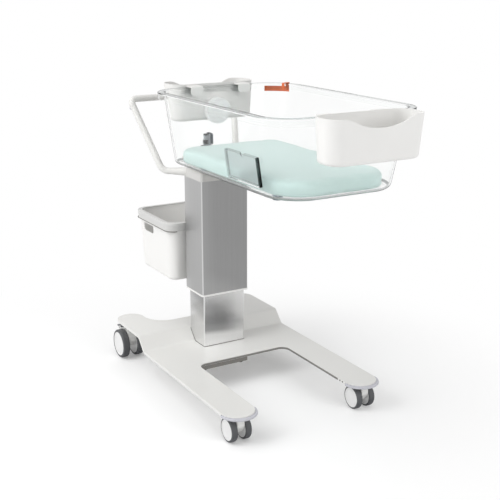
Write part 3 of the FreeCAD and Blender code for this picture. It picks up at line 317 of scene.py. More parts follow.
def clearMaterial(name, look):
    # clear moulded plastic: the edge colour, painted shade and painted reflection of dark surroundings, comes in
    # by the larger of (seen edge on) and (leaning or cut face), and faint rubbing marks set the roughness
    material, tree, shader, place = startMaterial(name, look["sockets"])
    marks = addNode(tree, "TexNoise", {"Vector": place, "Scale": look["marks"], "Detail": 5.0})
    rough = addNode(tree, "MapRange", {"Value": marks.outputs["Fac"], "From Min": 0.45, "From Max": 0.8,
                                       "To Min": look["rough"][0], "To Max": look["rough"][1]})
    tree.links.new(rough.outputs["Result"], shader.inputs["Roughness"])
    rim = addNode(tree, "MapRange", {"Value": addNode(tree, "LayerWeight", {"Blend": 0.5}).outputs["Facing"],
                                     "From Min": look["rim"][0], "From Max": look["rim"][1]},
                  interpolation_type="SMOOTHSTEP").outputs["Result"]
    shadeBand = useGroup(tree, edgeShadeGroup, {"Along": look["along"], "Low": look["band"][0], "High": look["band"][1],
                                    "Amount": look["shadeBandAmount"], "Vector": place,
                                    "Start X": look.get("startX", -10.0), "Before": look.get("before", 1.0)})
    mask = mathNode(tree, "MAXIMUM", rim, shadeBand.outputs["Mask"])
    tree.links.new(tinted(tree, mask, look["clear"], look["edge"]), shader.inputs["Base Color"])
    return material


# Each finish: the dark and light ends of its tone, the range of its roughness, the scales of its noise.
finishes = {
    "powder_coat": skinMaterial("powderCoat", {
        "dark": (0.67, 0.665, 0.645), "light": (0.73, 0.725, 0.705), "rough": (0.32, 0.44), "fine": 1500.0,
        "broad": 5.0, "depth": 0.25, "dust": 0.05, "sockets": {"Coat Weight": 0.15, "Coat Roughness": 0.25}}),
    "white_plastic": skinMaterial("whitePlastic", {
        "dark": (0.78, 0.775, 0.76), "light": (0.83, 0.825, 0.81), "rough": (0.34, 0.46), "fine": 2200.0,
        "broad": 7.0, "depth": 0.12, "dust": 0.04, "sockets": {"Specular IOR Level": 0.45}}),
    "collar_grey": skinMaterial("collarGrey", {
        "dark": (0.56, 0.56, 0.55), "light": (0.61, 0.61, 0.6), "rough": (0.38, 0.5), "fine": 2000.0,
        "broad": 9.0, "depth": 0.15, "dust": 0.05, "sockets": {}}),
    "guide_plastic": skinMaterial("guidePlastic", {
        "dark": (0.74, 0.74, 0.72), "light": (0.8, 0.8, 0.78), "rough": (0.25, 0.35), "fine": 1800.0,
        "broad": 12.0, "depth": 0.08, "dust": 0.0, "sockets": {}}),
    "bumper_grey": skinMaterial("bumperGrey", {
        "dark": (0.47, 0.47, 0.51), "light": (0.54, 0.54, 0.59), "rough": (0.45, 0.6), "fine": 1600.0,
        "broad": 20.0, "depth": 0.3, "dust": 0.05, "sockets": {}}),
    "under_frame": skinMaterial("underFrame", {
        "dark": (0.16, 0.155, 0.14), "light": (0.21, 0.2, 0.185), "rough": (0.4, 0.55), "fine": 1300.0,
        "broad": 8.0, "depth": 0.3, "dust": 0.08, "sockets": {}}),
    "strut_black": skinMaterial("strutBlack", {
        "dark": (0.012, 0.012, 0.014), "light": (0.022, 0.022, 0.025), "rough": (0.14, 0.24), "fine": 900.0,
        "broad": 10.0, "depth": 0.05, "dust": 0.02, "sockets": {"Coat Weight": 0.4}}),
    "caster_grey": skinMaterial("casterGrey", {
        "dark": (0.7, 0.7, 0.685), "light": (0.77, 0.77, 0.755), "rough": (0.3, 0.42), "fine": 2000.0,
        "broad": 25.0, "depth": 0.15, "dust": 0.1, "sockets": {}}),
    "hub_white": skinMaterial("hubWhite", {
        "dark": (0.7, 0.7, 0.7), "light": (0.77, 0.77, 0.77), "rough": (0.24, 0.34), "fine": 2200.0,
        "broad": 30.0, "depth": 0.06, "dust": 0.1, "sockets": {"Coat Weight": 0.2}}),
    "tread_grey": skinMaterial("treadGrey", {
        "dark": (0.06, 0.063, 0.069), "light": (0.095, 0.099, 0.107), "rough": (0.55, 0.72), "fine": 1500.0,
        "broad": 40.0, "depth": 0.4, "dust": 0.12, "sockets": {"Specular IOR Level": 0.3}}),
    "pedal_grey": skinMaterial("pedalGrey", {
        "dark": (0.1, 0.105, 0.115), "light": (0.15, 0.155, 0.17), "rough": (0.45, 0.6), "fine": 1500.0,
        "broad": 40.0, "depth": 0.25, "dust": 0.15, "sockets": {}}),
    "lever_blue_grey": skinMaterial("leverBlueGrey", {
        "dark": (0.33, 0.36, 0.39), "light": (0.4, 0.44, 0.47), "rough": (0.35, 0.5), "fine": 1800.0,
        "broad": 30.0, "depth": 0.15, "dust": 0.05, "sockets": {}}),
    "clip_orange": skinMaterial("clipOrange", {
        "dark": (0.62, 0.1, 0.018), "light": (0.75, 0.15, 0.03), "rough": (0.22, 0.34), "fine": 1800.0,
        "broad": 30.0, "depth": 0.08, "dust": 0.03, "sockets": {"Coat Weight": 0.3}}),
    # a darker copy of the white plastic: painted shade on the column's cap under the basin
    "cap_plastic_painted_shade": skinMaterial("capPlasticPaintedShade", {
        "dark": (0.53, 0.525, 0.51), "light": (0.58, 0.575, 0.56), "rough": (0.36, 0.48), "fine": 2200.0,
        "broad": 9.0, "depth": 0.12, "dust": 0.04, "sockets": {}}),
    # a darker copy of the white plastic: painted shade on the head tray
    "tray_plastic_painted_shade": skinMaterial("trayPlasticPaintedShade", {
        "dark": (0.69, 0.685, 0.67), "light": (0.75, 0.745, 0.73), "rough": (0.34, 0.46), "fine": 2200.0,
        "broad": 7.0, "depth": 0.12, "dust": 0.04, "sockets": {"Specular IOR Level": 0.45}}),
    "spacer_plastic": paintedEdgeDiscMaterial({
        "dark": (0.9, 0.91, 0.91), "light": (0.94, 0.95, 0.95), "rough": (0.2, 0.3), "fine": 1800.0,
        "broad": 30.0, "depth": 0.06, "dust": 0.0, "axis": (0.0, 0.887), "radius": 0.041,
        # rings of (share of the radius, grey) paint a highlight on the edge and a line of shade inside it
        "rings": [(0.0, 0.93), (0.88, 0.93), (0.905, 0.72), (0.93, 1.0), (1.0, 1.0)], "sockets": {}}),
    # dark grey: the real seal and boot, and the strips of painted shade at the base's opening and under the collar
    "trim_dark": skinMaterial("trimDarkAndPaintedShade", {
        "dark": (0.17, 0.165, 0.155), "light": (0.22, 0.215, 0.2), "rough": (0.5, 0.65), "fine": 1700.0,
        "broad": 18.0, "depth": 0.25, "dust": 0.05, "sockets": {}}),
    "grip_blue": skinMaterial("gripBlue", {
        "dark": (0.008, 0.026, 0.04), "light": (0.014, 0.04, 0.058), "rough": (0.4, 0.52), "fine": 1700.0,
        "broad": 30.0, "depth": 0.15, "dust": 0.02, "sockets": {}}),
    # the columns: on each flat face a grey ramp by height paints shade and reflection, darker on the foot-end face
    "column_steel": metalMaterial("columnSteel", {
        "dark": (0.66, 0.66, 0.66), "light": (0.74, 0.74, 0.735), "rough": (0.28, 0.38), "scale": 1400.0,
        "stretch": (1.0, 1.0, 0.008), "depth": 0.2, "faces": [
            ((1, 0, 0), ("Y", 0.5, -0.03, -0.087, 0.5, 0.37),
             [(0.25, 0.37), (0.35, 0.29), (0.5, 0.275), (0.7, 0.275)]),
            ((-1, 0, 0), ("Y", 0.5, -0.03, -0.087, 0.4, 0.37), [(0.28, 0.36), (0.5, 0.3), (0.66, 0.34)]),
            ((0, -1, 0), ("X", -0.6, 0.0, -0.06, 0.5, 0.56), [(0.26, 0.42), (0.45, 0.46), (0.7, 0.47)]),
            ((0, 1, 0), ("X", 0.6, 0.0, -0.06, 0.5, 0.52), [(0.28, 0.38), (0.48, 0.44), (0.66, 0.42)])],
        "sockets": {"Anisotropic": 0.5}}),
    "inner_steel": metalMaterial("innerSteel", {
        "dark": (0.84, 0.84, 0.84), "light": (0.9, 0.9, 0.9), "rough": (0.16, 0.26), "scale": 1400.0,
        "stretch": (1.0, 1.0, 0.008), "depth": 0.12, "faces": [
            ((1, 0, 0), ("Y", 0.1, -0.01, 0.078, 0.75, 0.7),
             [(0.095, 0.78), (0.125, 0.7), (0.15, 0.34), (0.175, 0.29), (0.22, 0.4), (0.28, 0.54)]),
            ((-1, 0, 0), ("Y", 0.1, -0.01, 0.078, 0.6, 0.6), [(0.14, 0.6), (0.18, 0.3), (0.28, 0.45)]),
            ((0, -1, 0), ("X", 0.2, 0.0, -0.053, 0.4, 0.6), [(0.1, 0.8), (0.18, 0.75), (0.23, 0.5), (0.28, 0.32)]),
            ((0, 1, 0), ("X", 0.2, 0.0, -0.053, 0.4, 0.6), [(0.1, 0.7), (0.17, 0.62), (0.24, 0.44), (0.28, 0.36)])],
        "sockets": {}}),
    "bracket_steel": metalMaterial("bracketSteel", {
        "dark": (0.4, 0.4, 0.4), "light": (0.52, 0.52, 0.52), "rough": (0.28, 0.42), "scale": 900.0,
        "stretch": (1.0, 0.02, 1.0), "depth": 0.2, "sockets": {}}),
    "strut_steel": metalMaterial("strutSteel", {
        "dark": (0.58, 0.58, 0.59), "light": (0.66, 0.66, 0.67), "rough": (0.06, 0.14), "scale": 900.0,
        "stretch": (1.0, 1.0, 0.05), "depth": 0.05, "sockets": {}}),
    "axle_steel": metalMaterial("axleSteel", {
        "dark": (0.42, 0.42, 0.43), "light": (0.52, 0.52, 0.53), "rough": (0.2, 0.3), "scale": 900.0,
        "stretch": (1.0, 0.05, 1.0), "depth": 0.1, "sockets": {}}),
    # clear parts: the edge colour is painted shade and reflection where the surface is seen edge on or leans
    "basin_clear": clearMaterial("basinClear", {
        "marks": 9.0, "rough": (0.0, 0.008), "rim": (0.72, 0.93), "along": (0, 0, 1), "band": (0.45, 0.97),
        "shadeBandAmount": 0.75, "clear": (0.985, 0.99, 0.988), "edge": (0.16, 0.18, 0.18),
        "sockets": {"Transmission Weight": 1.0, "IOR": 1.16}}),
    "card_clear": clearMaterial("cardClear", {
        "marks": 20.0, "rough": (0.0, 0.01), "rim": (0.9, 1.0), "along": (0, 0.966, -0.259),
        "band": (-1.0, 0.6), "shadeBandAmount": 1.0, "clear": (0.9, 0.905, 0.91), "edge": (0.1, 0.12, 0.12),
        "startX": 0.62, "before": 0.5,
        "sockets": {"Transmission Weight": 1.0, "IOR": 1.2}}),
    "feet_clear": clearMaterial("feetClear", {
        "marks": 60.0, "rough": (0.2, 0.35), "rim": (0.7, 1.0), "along": (0, 0, 1), "band": (-1.0, 0.4),
        "shadeBandAmount": 0.3, "clear": (0.5, 0.56, 0.64), "edge": (0.3, 0.34, 0.4),
        "sockets": {"Transmission Weight": 0.75, "IOR": 1.42}}),
}
# nodes whose finish differs from the rest of their slot; the cap and the head tray get darker copies of the white
# plastic as painted shade
ownFinish = {"column_cap": "cap_plastic_painted_shade", "head_tray": "tray_plastic_painted_shade", "tray_spacer": "spacer_plastic"}
for part in frame["record"]["subparts"]:
    slotName = ownFinish.get(part["node"], part["material_slot"])
    if slotName in finishes:
        mesh = nodes[part["node"]].data
        mesh.materials.clear()
        mesh.materials.append(finishes[slotName])
print("finishes on", sum(len(o.data.materials) for o in nodes.values()), "pieces")


def gridFaces(rows, columns):
    # quads (r, c), (r, c + 1), (r + 1, c + 1), (r + 1, c), closed round the columns and open along the rows
    index = np.arange(rows * columns).reshape(rows, columns)
    ahead = np.roll(index, -1, axis=1)
    return np.stack([index[:-1], ahead[:-1], ahead[1:], index[1:]], axis=-1).reshape(-1, 4)


def closedRings(rings, low, high):
    # points and faces of stacked rings (rows, columns, 3): quads between them, a fan to a point at each end
    rows, columns = rings.shape[:2]
    points = np.concatenate([rings.reshape(-1, 3), [low, high]])
    sides = gridFaces(rows, columns)
    first, ahead = np.arange(columns), np.roll(np.arange(columns), -1)
    last = (rows - 1) * columns
    under = np.stack([ahead, first, np.full(columns, rows * columns)], axis=-1)
    over = np.stack([last + first, last + ahead, np.full(columns, rows * columns + 1)], axis=-1)
    return points, sides.tolist() + under.tolist() + over.tolist()


def signedVolume(mesh):
    # sum of a . (b x c) / 6 over the triangles: above zero when the faces point outwards
    mesh.calc_loop_triangles()
    corners = np.empty(len(mesh.loop_triangles) * 3, dtype=np.int32)
    mesh.loop_triangles.foreach_get("vertices", corners)
    a, b, c = readPoints(mesh)[corners.reshape(-1, 3)].transpose(1, 0, 2)
    return float((a * np.cross(b, c)).sum()) / 6


def readPoints(mesh):
    # the mesh's points as rows of x, y, z
    points = np.empty(len(mesh.vertices) * 3)
    mesh.vertices.foreach_get("co", points)
    return points.reshape(-1, 3)


def meshPiece(name, points, faces, material, smooth=True):
    # an object at the origin with its place in its mesh, turned so that its faces point outwards
    mesh = bpy.data.meshes.new(name)
    mesh.from_pydata(np.asarray(points, float).tolist(), [], faces if isinstance(faces, list) else faces.tolist())
    mesh.materials.append(material)
    mesh.polygons.foreach_set("use_smooth", np.full(len(mesh.polygons), smooth))
    if signedVolume(mesh) < 0:
        mesh.flip_normals()
    mesh.update()
    piece = bpy.data.objects.new(name, mesh)
    bpy.context.scene.collection.objects.link(piece)
    return piece


def roundedOutline(low, high, lowRound, highRound, perCorner, perSide):
    # closed outline of a rectangle, anticlockwise, with its own corner radius at each x end:
    # each corner is centre + radius * (cos a, sin a) over a quarter turn, each side is even steps
    corners = [(high[0], low[1], highRound, -90), (high[0], high[1], highRound, 0),
               (low[0], high[1], lowRound, 90), (low[0], low[1], lowRound, 180)]
    arcs = []
    for x, y, radius, start in corners:
        cx = x - radius if x == high[0] else x + radius
        cy = y - radius if y == high[1] else y + radius
        angle = np.radians(np.linspace(start, start + 90, perCorner))
        arcs.append(np.stack([cx + radius * np.cos(angle), cy + radius * np.sin(angle)], axis=-1))
    step = np.linspace(0, 1, perSide + 2)[1:-1, None]
    parts = []
    for arc, following in zip(arcs, arcs[1:] + arcs[:1]):
        parts += [arc, arc[-1] + (following[0] - arc[-1]) * step]
    return np.concatenate(parts)


def bandAlong(path, out, profile, closed=True):
    # points path + u * out + (0, 0, v) for each (u, v) of a closed profile, as quads, with end caps if open
    rings = path[:, None] + profile[None, :, :1] * out[:, None] + profile[None, :, 1:] * [0.0, 0.0, 1.0]
    rows, columns = rings.shape[:2]
    index = np.arange(rows * columns).reshape(rows, columns)
    side, ahead = np.roll(index, -1, axis=1), np.roll(index, -1, axis=0)
    quads = np.stack([index, side, np.roll(side, -1, axis=0), ahead], axis=-1)
    if closed:
        return rings.reshape(-1, 3), quads.reshape(-1, 4).tolist()
    return rings.reshape(-1, 3), quads[:-1].reshape(-1, 4).tolist() + [index[0, ::-1].tolist(),
                                                                    index[-1].tolist()]


def outwards(path, closed=True):
    # unit vectors in plan, square to the path and on its right hand
    if closed:
        ahead = np.roll(path, -1, axis=0) - np.roll(path, 1, axis=0)
    else:
        ahead = np.gradient(path, axis=0)
    side = np.column_stack([ahead[:, 1], -ahead[:, 0], np.zeros(len(path))])
    return side / np.linalg.norm(side, axis=1, keepdims=True)


def roundedBlock(low, high, corner, edge):
    # a box with quarter-round upright corners: the outline drawn in by edge * (1 - sin a) at height
    # edge * (1 - cos a) from the foot, and the other way round at the top
    outline = roundedOutline(low[:2], high[:2], corner, corner, perCorner=6, perSide=3)
    middle = (np.array(low[:2]) + np.array(high[:2])) / 2
    away = outline - middle
    away = away / np.linalg.norm(away, axis=1, keepdims=True)
    turn = np.radians(np.linspace(0, 90, 5))
    profile = [(edge * (1 - math.sin(a)), low[2] + edge * (1 - math.cos(a))) for a in turn]
    profile += [(edge * (1 - math.cos(a)), high[2] - edge * (1 - math.sin(a))) for a in turn]
    rings = [np.column_stack([outline - away * inset, np.full(len(outline), z)]) for inset, z in profile]
    return closedRings(np.array(rings), [*middle, low[2]], [*middle, high[2]])


def dress(name, shape, finish, body):
    # a piece with its finish and the body that it rides on
    piece = meshPiece(name, *shape, finishes[finish])
    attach(piece, body)
    return piece


mattressLook = {
    "headRound": 0.044, "footRound": 0.099,                        # corners in plan
    "shrink": 0.0035, "lift": 0.001,                               # how far inside its space the pad starts
    "edge": 0.014, "lowEdge": 0.006, "crown": 0.0016,              # rounded edges and the rise of the top
    "voxel": 0.005, "pressure": 4.0, "steps": 20, "cap": 0.0045,   # remesh, cloth, furthest move
    "seamHeight": 0.0075, "seamRadius": 0.0011, "seamSides": 8, "seamEvening": 6,
    "dark": (0.56, 0.715, 0.69), "light": (0.61, 0.765, 0.735), "rough": (0.42, 0.6),
    "cloud": 3.5, "weave": 900.0, "fold": 9.0,                     # scales of tone, weave and lying folds
}


def coverMaterial(look):
    # wipe-clean mint cover: weave = wave across + wave along as a fine bump, noise as a deeper bump for folds
    material, tree, shader, place = startMaterial("mintCover", {
        "Sheen Weight": 0.25, "Sheen Roughness": 0.5, "Specular IOR Level": 0.35, "Coat Weight": 0.05})
    broad = addNode(tree, "TexNoise", {"Vector": place, "Scale": look["cloud"], "Detail": 3.0})
    across = addNode(tree, "TexWave", {"Vector": place, "Scale": look["weave"]}, bands_direction="X")
    along = addNode(tree, "TexWave", {"Vector": place, "Scale": look["weave"]}, bands_direction="Y")
    weave = mathNode(tree, "ADD", across.outputs["Fac"], along.outputs["Fac"])
    folds = addNode(tree, "TexNoise", {"Vector": place, "Scale": look["fold"], "Detail": 2.0, "Distortion": 0.6})
    tree.links.new(tinted(tree, broad.outputs["Fac"], look["dark"], look["light"]), shader.inputs["Base Color"])
    tree.links.new(spread(tree, folds.outputs["Fac"], *look["rough"]), shader.inputs["Roughness"])
    fine = addNode(tree, "Bump", {"Height": weave, "Strength": 0.06, "Distance": 0.0002})
    deep = addNode(tree, "Bump", {"Height": folds.outputs["Fac"], "Strength": 0.25, "Distance": 0.004,
                                  "Normal": fine.outputs["Normal"]})
    tree.links.new(deep.outputs["Normal"], shader.inputs["Normal"])
    return material


def mattressRings(low, high, look):
    # the outline carried up a profile of (inset, height, share): flat base, round edge, upright side,
    # round edge, and a top that rises by crown * (1 - share^2) towards the middle
    pole = 0.06  # share of the outline at the ring nearest the middle
    outline = roundedOutline(low[:2], high[:2], look["headRound"], look["footRound"], perCorner=14, perSide=24)
    middle = np.array([(low[0] + high[0]) / 2, (low[1] + high[1]) / 2])
    out = outline - middle
    away = out / np.linalg.norm(out, axis=1, keepdims=True)
    turn = np.radians(np.linspace(0, 90, 7))
    edge, lowEdge, top = look["edge"], look["lowEdge"], high[2] - look["crown"]
    profile = [(lowEdge * (1 - math.sin(a)), low[2] + lowEdge * (1 - math.cos(a)), 1.0) for a in turn]
    profile += [(0.0, z, 1.0) for z in np.linspace(low[2] + lowEdge, top - edge, 5)[1:-1]]
    profile += [(edge * (1 - math.cos(a)), top - edge * (1 - math.sin(a)), 1.0) for a in turn]
    cap = [(edge, top + look["crown"] * (1 - k * k), k) for k in np.linspace(1, pole, 14)[1:]]
    base = [(lowEdge, low[2], k) for k in np.linspace(pole, 1, 12)[:-1]]
    rings = [np.column_stack([middle + (out - away * inset) * share, np.full(len(out), z)])
             for inset, z, share in base + profile + cap]
    return closedRings(np.array(rings), [*middle, low[2]], [*middle, high[2]])


def inflate(piece, look):
    # remesh, press out with cloth under pressure, then start + move * min(1, cap / length of the move)
    remesh = piece.modifiers.new("remesh", "REMESH")
    remesh.mode, remesh.voxel_size, remesh.use_smooth_shade = "VOXEL", look["voxel"], True
    applyModifiers(piece)
    before = readPoints(piece.data)
    cloth = piece.modifiers.new("cloth", "CLOTH")
    cloth.settings.quality = 5
    cloth.settings.use_pressure = True
    cloth.settings.uniform_pressure_force = look["pressure"]
    cloth.settings.effector_weights.gravity = 0
    cloth.point_cache.frame_end = look["steps"]
    scene = bpy.context.scene
    for step in range(1, look["steps"] + 1):
        scene.frame_set(step)
    applyModifiers(piece)
    scene.frame_set(1)
    move = readPoints(piece.data) - before
    reach = np.linalg.norm(move, axis=1, keepdims=True)
    after = before + move * np.minimum(1, look["cap"] / np.maximum(reach, 1e-9))
    piece.data.vertices.foreach_set("co", after.ravel())
    piece.data.update()


def applyModifiers(piece):
    # what the live modifiers make becomes the mesh
    graph = bpy.context.evaluated_depsgraph_get()
    done = bpy.data.meshes.new_from_object(piece.evaluated_get(graph))
    piece.modifiers.clear()
    piece.data = done


def tubeAlong(name, path, radius, sides, material):
    # a closed tube: path point + radius * (cos a * side + sin a * up), square to the path
    ahead = np.roll(path, -1, axis=0) - np.roll(path, 1, axis=0)
    ahead /= np.linalg.norm(ahead, axis=1, keepdims=True)
    side = np.cross(ahead, [0.0, 0.0, 1.0])
    side /= np.linalg.norm(side, axis=1, keepdims=True)
    up = np.cross(side, ahead)
    angle = np.linspace(0, 2 * math.pi, sides, endpoint=False)[None, :, None]
    rings = path[:, None] + radius * (np.cos(angle) * side[:, None] + np.sin(angle) * up[:, None])
    index = np.arange(len(path) * sides).reshape(len(path), sides)
    nextRing, nextSide = np.roll(index, -1, axis=0), np.roll(index, -1, axis=1)
    faces = np.stack([index, nextSide, np.roll(nextRing, -1, axis=1), nextRing], axis=-1).reshape(-1, 4)
    return meshPiece(name, rings.reshape(-1, 3), faces, material)


mintCover = coverMaterial(mattressLook)
padLow, padHigh = (np.array(corner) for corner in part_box("mattress"))
startLow = padLow + [mattressLook["shrink"], mattressLook["shrink"], mattressLook["lift"]]
startHigh = padHigh - mattressLook["shrink"]
mattress = meshPiece("mattress_pad", *mattressRings(startLow, startHigh, mattressLook), mintCover)
inflate(mattress, mattressLook)
finer = mattress.modifiers.new("finer", "SUBSURF")
finer.levels = finer.render_levels = 1
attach(mattress, "cradle")
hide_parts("mattress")

# the seam follows the pad's own side: the nearest point of the pad at the seam's height, evened out
surface = readPoints(mattress.data)
seamZ = padLow[2] + mattressLook["seamHeight"]
band = surface[np.abs(surface[:, 2] - seamZ) < mattressLook["voxel"]]
seamLine = roundedOutline(padLow[:2], padHigh[:2], mattressLook["headRound"], mattressLook["footRound"],
                          perCorner=24, perSide=60)
nearest = np.argmin(((seamLine[:, None] - band[None, :, :2]) ** 2).sum(-1), axis=1)
seamPath = band[nearest][:, :2]
for _ in range(mattressLook["seamEvening"]):
    seamPath = (np.roll(seamPath, 1, 0) + 2 * seamPath + np.roll(seamPath, -1, 0)) / 4
seamPath = np.column_stack([seamPath, np.full(len(seamPath), seamZ)])
seam = tubeAlong("mattress_seam", seamPath, mattressLook["seamRadius"], mattressLook["seamSides"], mintCover)
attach(seam, "cradle")
print("mattress made:", len(mattress.data.vertices), "points")


# a dark strip of painted shade on the inner edge of the base's opening, round its rear and along the legs
cutoutShadeStrip = {
    "rearX": 0.176, "sideY": 0.166, "round": 0.028, "endX": 0.487,   # the opening's outline in plan
    "lowZ": 0.0862, "highZ": 0.0928, "thick": 0.0009, "inset": 0.0002,
    "lip": 0.9, "middleX": 0.4,                                      # share of the height in front, place it faces
}
legScrew = {"x": (0.4985, 0.5118), "z": 0.0895, "round": 0.0024, "high": 0.0014, "sunk": 0.5,
            "sides": 20, "rings": 6, "lastTurn": 80}


def cutoutPath(look):
    # from one leg tip, round the rear of the opening, to the other: straight, quarter circle, straight
    x, y, r, z = look["rearX"], look["sideY"], look["round"], (look["lowZ"] + look["highZ"]) / 2
    turn = np.radians(np.linspace(0, 90, 14))
    leg = np.linspace(look["endX"], x + r, 30)[:-1]
    arc = np.column_stack([x + r - r * np.sin(turn), -y + r - r * np.cos(turn)])
    half = np.concatenate([np.column_stack([leg, np.full(len(leg), -y)]), arc])
    across = np.linspace(-y + r, y - r, 11)[1:-1]
    middle = np.column_stack([np.full(len(across), x), across])
    plan = np.concatenate([half, middle, half[::-1] * [1, -1]])
    return np.column_stack([plan, np.full(len(plan), z)])


def screwHead(centre, out, look):
    # a low dome: rings of round * cos t at high * sin t, with a flat rim that starts inside the leg
    angle = np.linspace(0, 2 * math.pi, look["sides"], endpoint=False)[None, :, None]
    side, up = np.array([1.0, 0, 0]), np.array([0, 0, 1.0])
    turn = np.radians(np.linspace(0, look["lastTurn"], look["rings"]))[:, None, None]
    radius, high = look["round"], look["high"]
    rings = centre + radius * np.cos(turn) * (np.cos(angle) * side + np.sin(angle) * up) \
        + out * high * np.sin(turn)
    foot = out * high * look["sunk"]
    rings = np.concatenate([rings[:1] - foot, rings])
    return closedRings(rings, centre - foot, centre + out * high)


shadeStripPath = cutoutPath(cutoutShadeStrip)
shadeStripOut = outwards(shadeStripPath, closed=False)
fromMiddle = shadeStripPath[:, :2] - [cutoutShadeStrip["middleX"], 0.0]
shadeStripOut *= -np.sign((shadeStripOut[:, :2] * fromMiddle).sum(1))[:, None]  # the strip faces into the opening
halfHigh = (cutoutShadeStrip["highZ"] - cutoutShadeStrip["lowZ"]) / 2
lipHigh = halfHigh * cutoutShadeStrip["lip"]
shadeStripProfile = np.array([(-cutoutShadeStrip["inset"], -halfHigh), (cutoutShadeStrip["thick"], -lipHigh),
                        (cutoutShadeStrip["thick"], lipHigh), (-cutoutShadeStrip["inset"], halfHigh)])
dress("cutout_shade_strip", bandAlong(shadeStripPath, shadeStripOut, shadeStripProfile, closed=False), "trim_dark", "base")
for sideName, sideSign in (("right", -1.0), ("left", 1.0)):
    for number, x in enumerate(legScrew["x"], 1):
        place = np.array([x, sideSign * cutoutShadeStrip["sideY"], legScrew["z"]])
        dress("leg_screw_%s_%d" % (sideName, number),
              screwHead(place, np.array([0, -sideSign, 0]), legScrew), "strut_black", "base")
print("trim and screws made")

channelFoot = {"places": ((0.1545, -0.132), (0.1545, 0.004)), "round": 0.0072, "corner": 0.98, "edge": 0.001,
               "lowZ": 0.0622, "highZ": 0.0674}
for number, (x, y) in enumerate(channelFoot["places"], 1):
    r = channelFoot["round"]
    low, high = (x - r, y - r, channelFoot["lowZ"]), (x + r, y + r, channelFoot["highZ"])
    dress("channel_foot_%d" % number, roundedBlock(low, high, r * channelFoot["corner"], channelFoot["edge"]),
          "strut_black", "base")

# a thin dark band under the bin's collar: painted shadow of the collar on the bin
collarShadeBand = {
    "low": (-0.3535, -0.1415), "high": (-0.0735, 0.1415), "round": 0.032, "z": 0.4742,
    "perCorner": 14, "perSide": 20,
    "profile": [(-0.006, -0.0006), (0.0008, -0.0012), (0.0008, 0.001), (-0.006, 0.001)],  # (outwards, up)
}
perCorner, perSide = collarShadeBand["perCorner"], collarShadeBand["perSide"]
collarShadePath = roundedOutline(collarShadeBand["low"], collarShadeBand["high"], collarShadeBand["round"], collarShadeBand["round"],
                            perCorner, perSide)
# open towards the column, where the hanger is: without the side that follows the first corner
collarShadePath = np.concatenate([collarShadePath[perCorner + perSide:], collarShadePath[:perCorner]])
collarShadePath = np.column_stack([collarShadePath, np.full(len(collarShadePath), collarShadeBand["z"])])
dress("collar_shade_band",
      bandAlong(collarShadePath, outwards(collarShadePath, closed=False), np.array(collarShadeBand["profile"]), closed=False),
      "trim_dark", "bin")

# thin seal where the lower column meets the base, and the base's own heights under it
columnSeal = {"halfX": 0.053, "halfY": 0.078, "round": 0.006, "thick": 0.0011, "high": 0.0022, "sunk": 0.0008,
              "inset": 0.0003, "bevel": 0.8,
              "lowZ": 0.095, "highZ": 0.138, "lowX": -0.015, "highX": -0.056, "blend": 0.0024}


def plateTop(x, look):
    # height of the base's upper face: low + s(u) - s(u - rise), with s(u) = (u + sqrt(u^2 + k^2)) / 2
    rise = look["highZ"] - look["lowZ"]
    u = (look["lowX"] - x) * rise / (look["lowX"] - look["highX"])
    return look["lowZ"] + sum(sign * (v + np.sqrt(v * v + look["blend"] ** 2)) / 2
                              for sign, v in ((1, u), (-1, u - rise)))


reachX, reachY = columnSeal["halfX"], columnSeal["halfY"]
sealPlan = roundedOutline((-reachX, -reachY), (reachX, reachY), columnSeal["round"], columnSeal["round"],
                          perCorner=8, perSide=28)
sealPath = np.column_stack([sealPlan, plateTop(sealPlan[:, 0], columnSeal)])
inset, thick, sunk, bevel = (columnSeal[key] for key in ("inset", "thick", "sunk", "bevel"))
sealProfile = np.array([(-inset, -sunk), (thick, -sunk), (thick * bevel, columnSeal["high"] * bevel),
                        (-inset, columnSeal["high"])])
dress("column_seal", bandAlong(sealPath, outwards(sealPath), sealProfile), "trim_dark", "base")

leverBoot = {
    "low": (-0.0653, -0.0151), "high": (-0.0489, 0.0151), "round": 0.004,  # a hole with room for the lever's swing
    "profile": [(0.0, 0.7575), (0.0075, 0.7575), (0.0075, 0.7585), (0.0015, 0.7629), (0.0, 0.7629)],
}
leverSleeve = {"low": (-0.0622, -0.0132, 0.7672), "high": (-0.0488, 0.0024, 0.7815), "round": 0.002, "edge": 0.001}
leverTip = {"low": (-0.0606, -0.0114, 0.7958), "high": (-0.0504, 0.0042, 0.8018), "round": 0.002, "edge": 0.001}
leverBlade = {"centre": (-0.0452, 0.0025), "radius": 0.0143, "thick": 0.0032, "from": 185, "to": 82,
              "lowZ": 0.7668, "highZ": 0.8052, "slope": 0.006, "steps": 16, "bevel": 0.0007, "bevelSteps": 2}


def pipeSection(look):
    # part of a pipe: points centre + r * (cos a, sin a) for two radii, with a top edge that falls by
    # slope * share^2 along the turn
    steps = look["steps"]
    angle = np.radians(np.linspace(look["from"], look["to"], steps))
    inner, outer = look["radius"] - look["thick"], look["radius"]
    low, high = np.full(steps, look["lowZ"]), look["highZ"] - look["slope"] * np.linspace(0, 1, steps) ** 2
    edges = [np.column_stack([look["centre"][0] + r * np.cos(angle), look["centre"][1] + r * np.sin(angle), z])
             for r, z in ((outer, low), (outer, high), (inner, high), (inner, low))]
    rings = np.stack(edges, axis=1)
    index = np.arange(steps * len(edges)).reshape(steps, len(edges))
    side = np.roll(index, -1, axis=1)
    quads = np.stack([index[:-1], side[:-1], side[1:], index[1:]], axis=-1).reshape(-1, 4)
    return rings.reshape(-1, 3), quads.tolist() + [index[0, ::-1].tolist(), index[-1].tolist()]


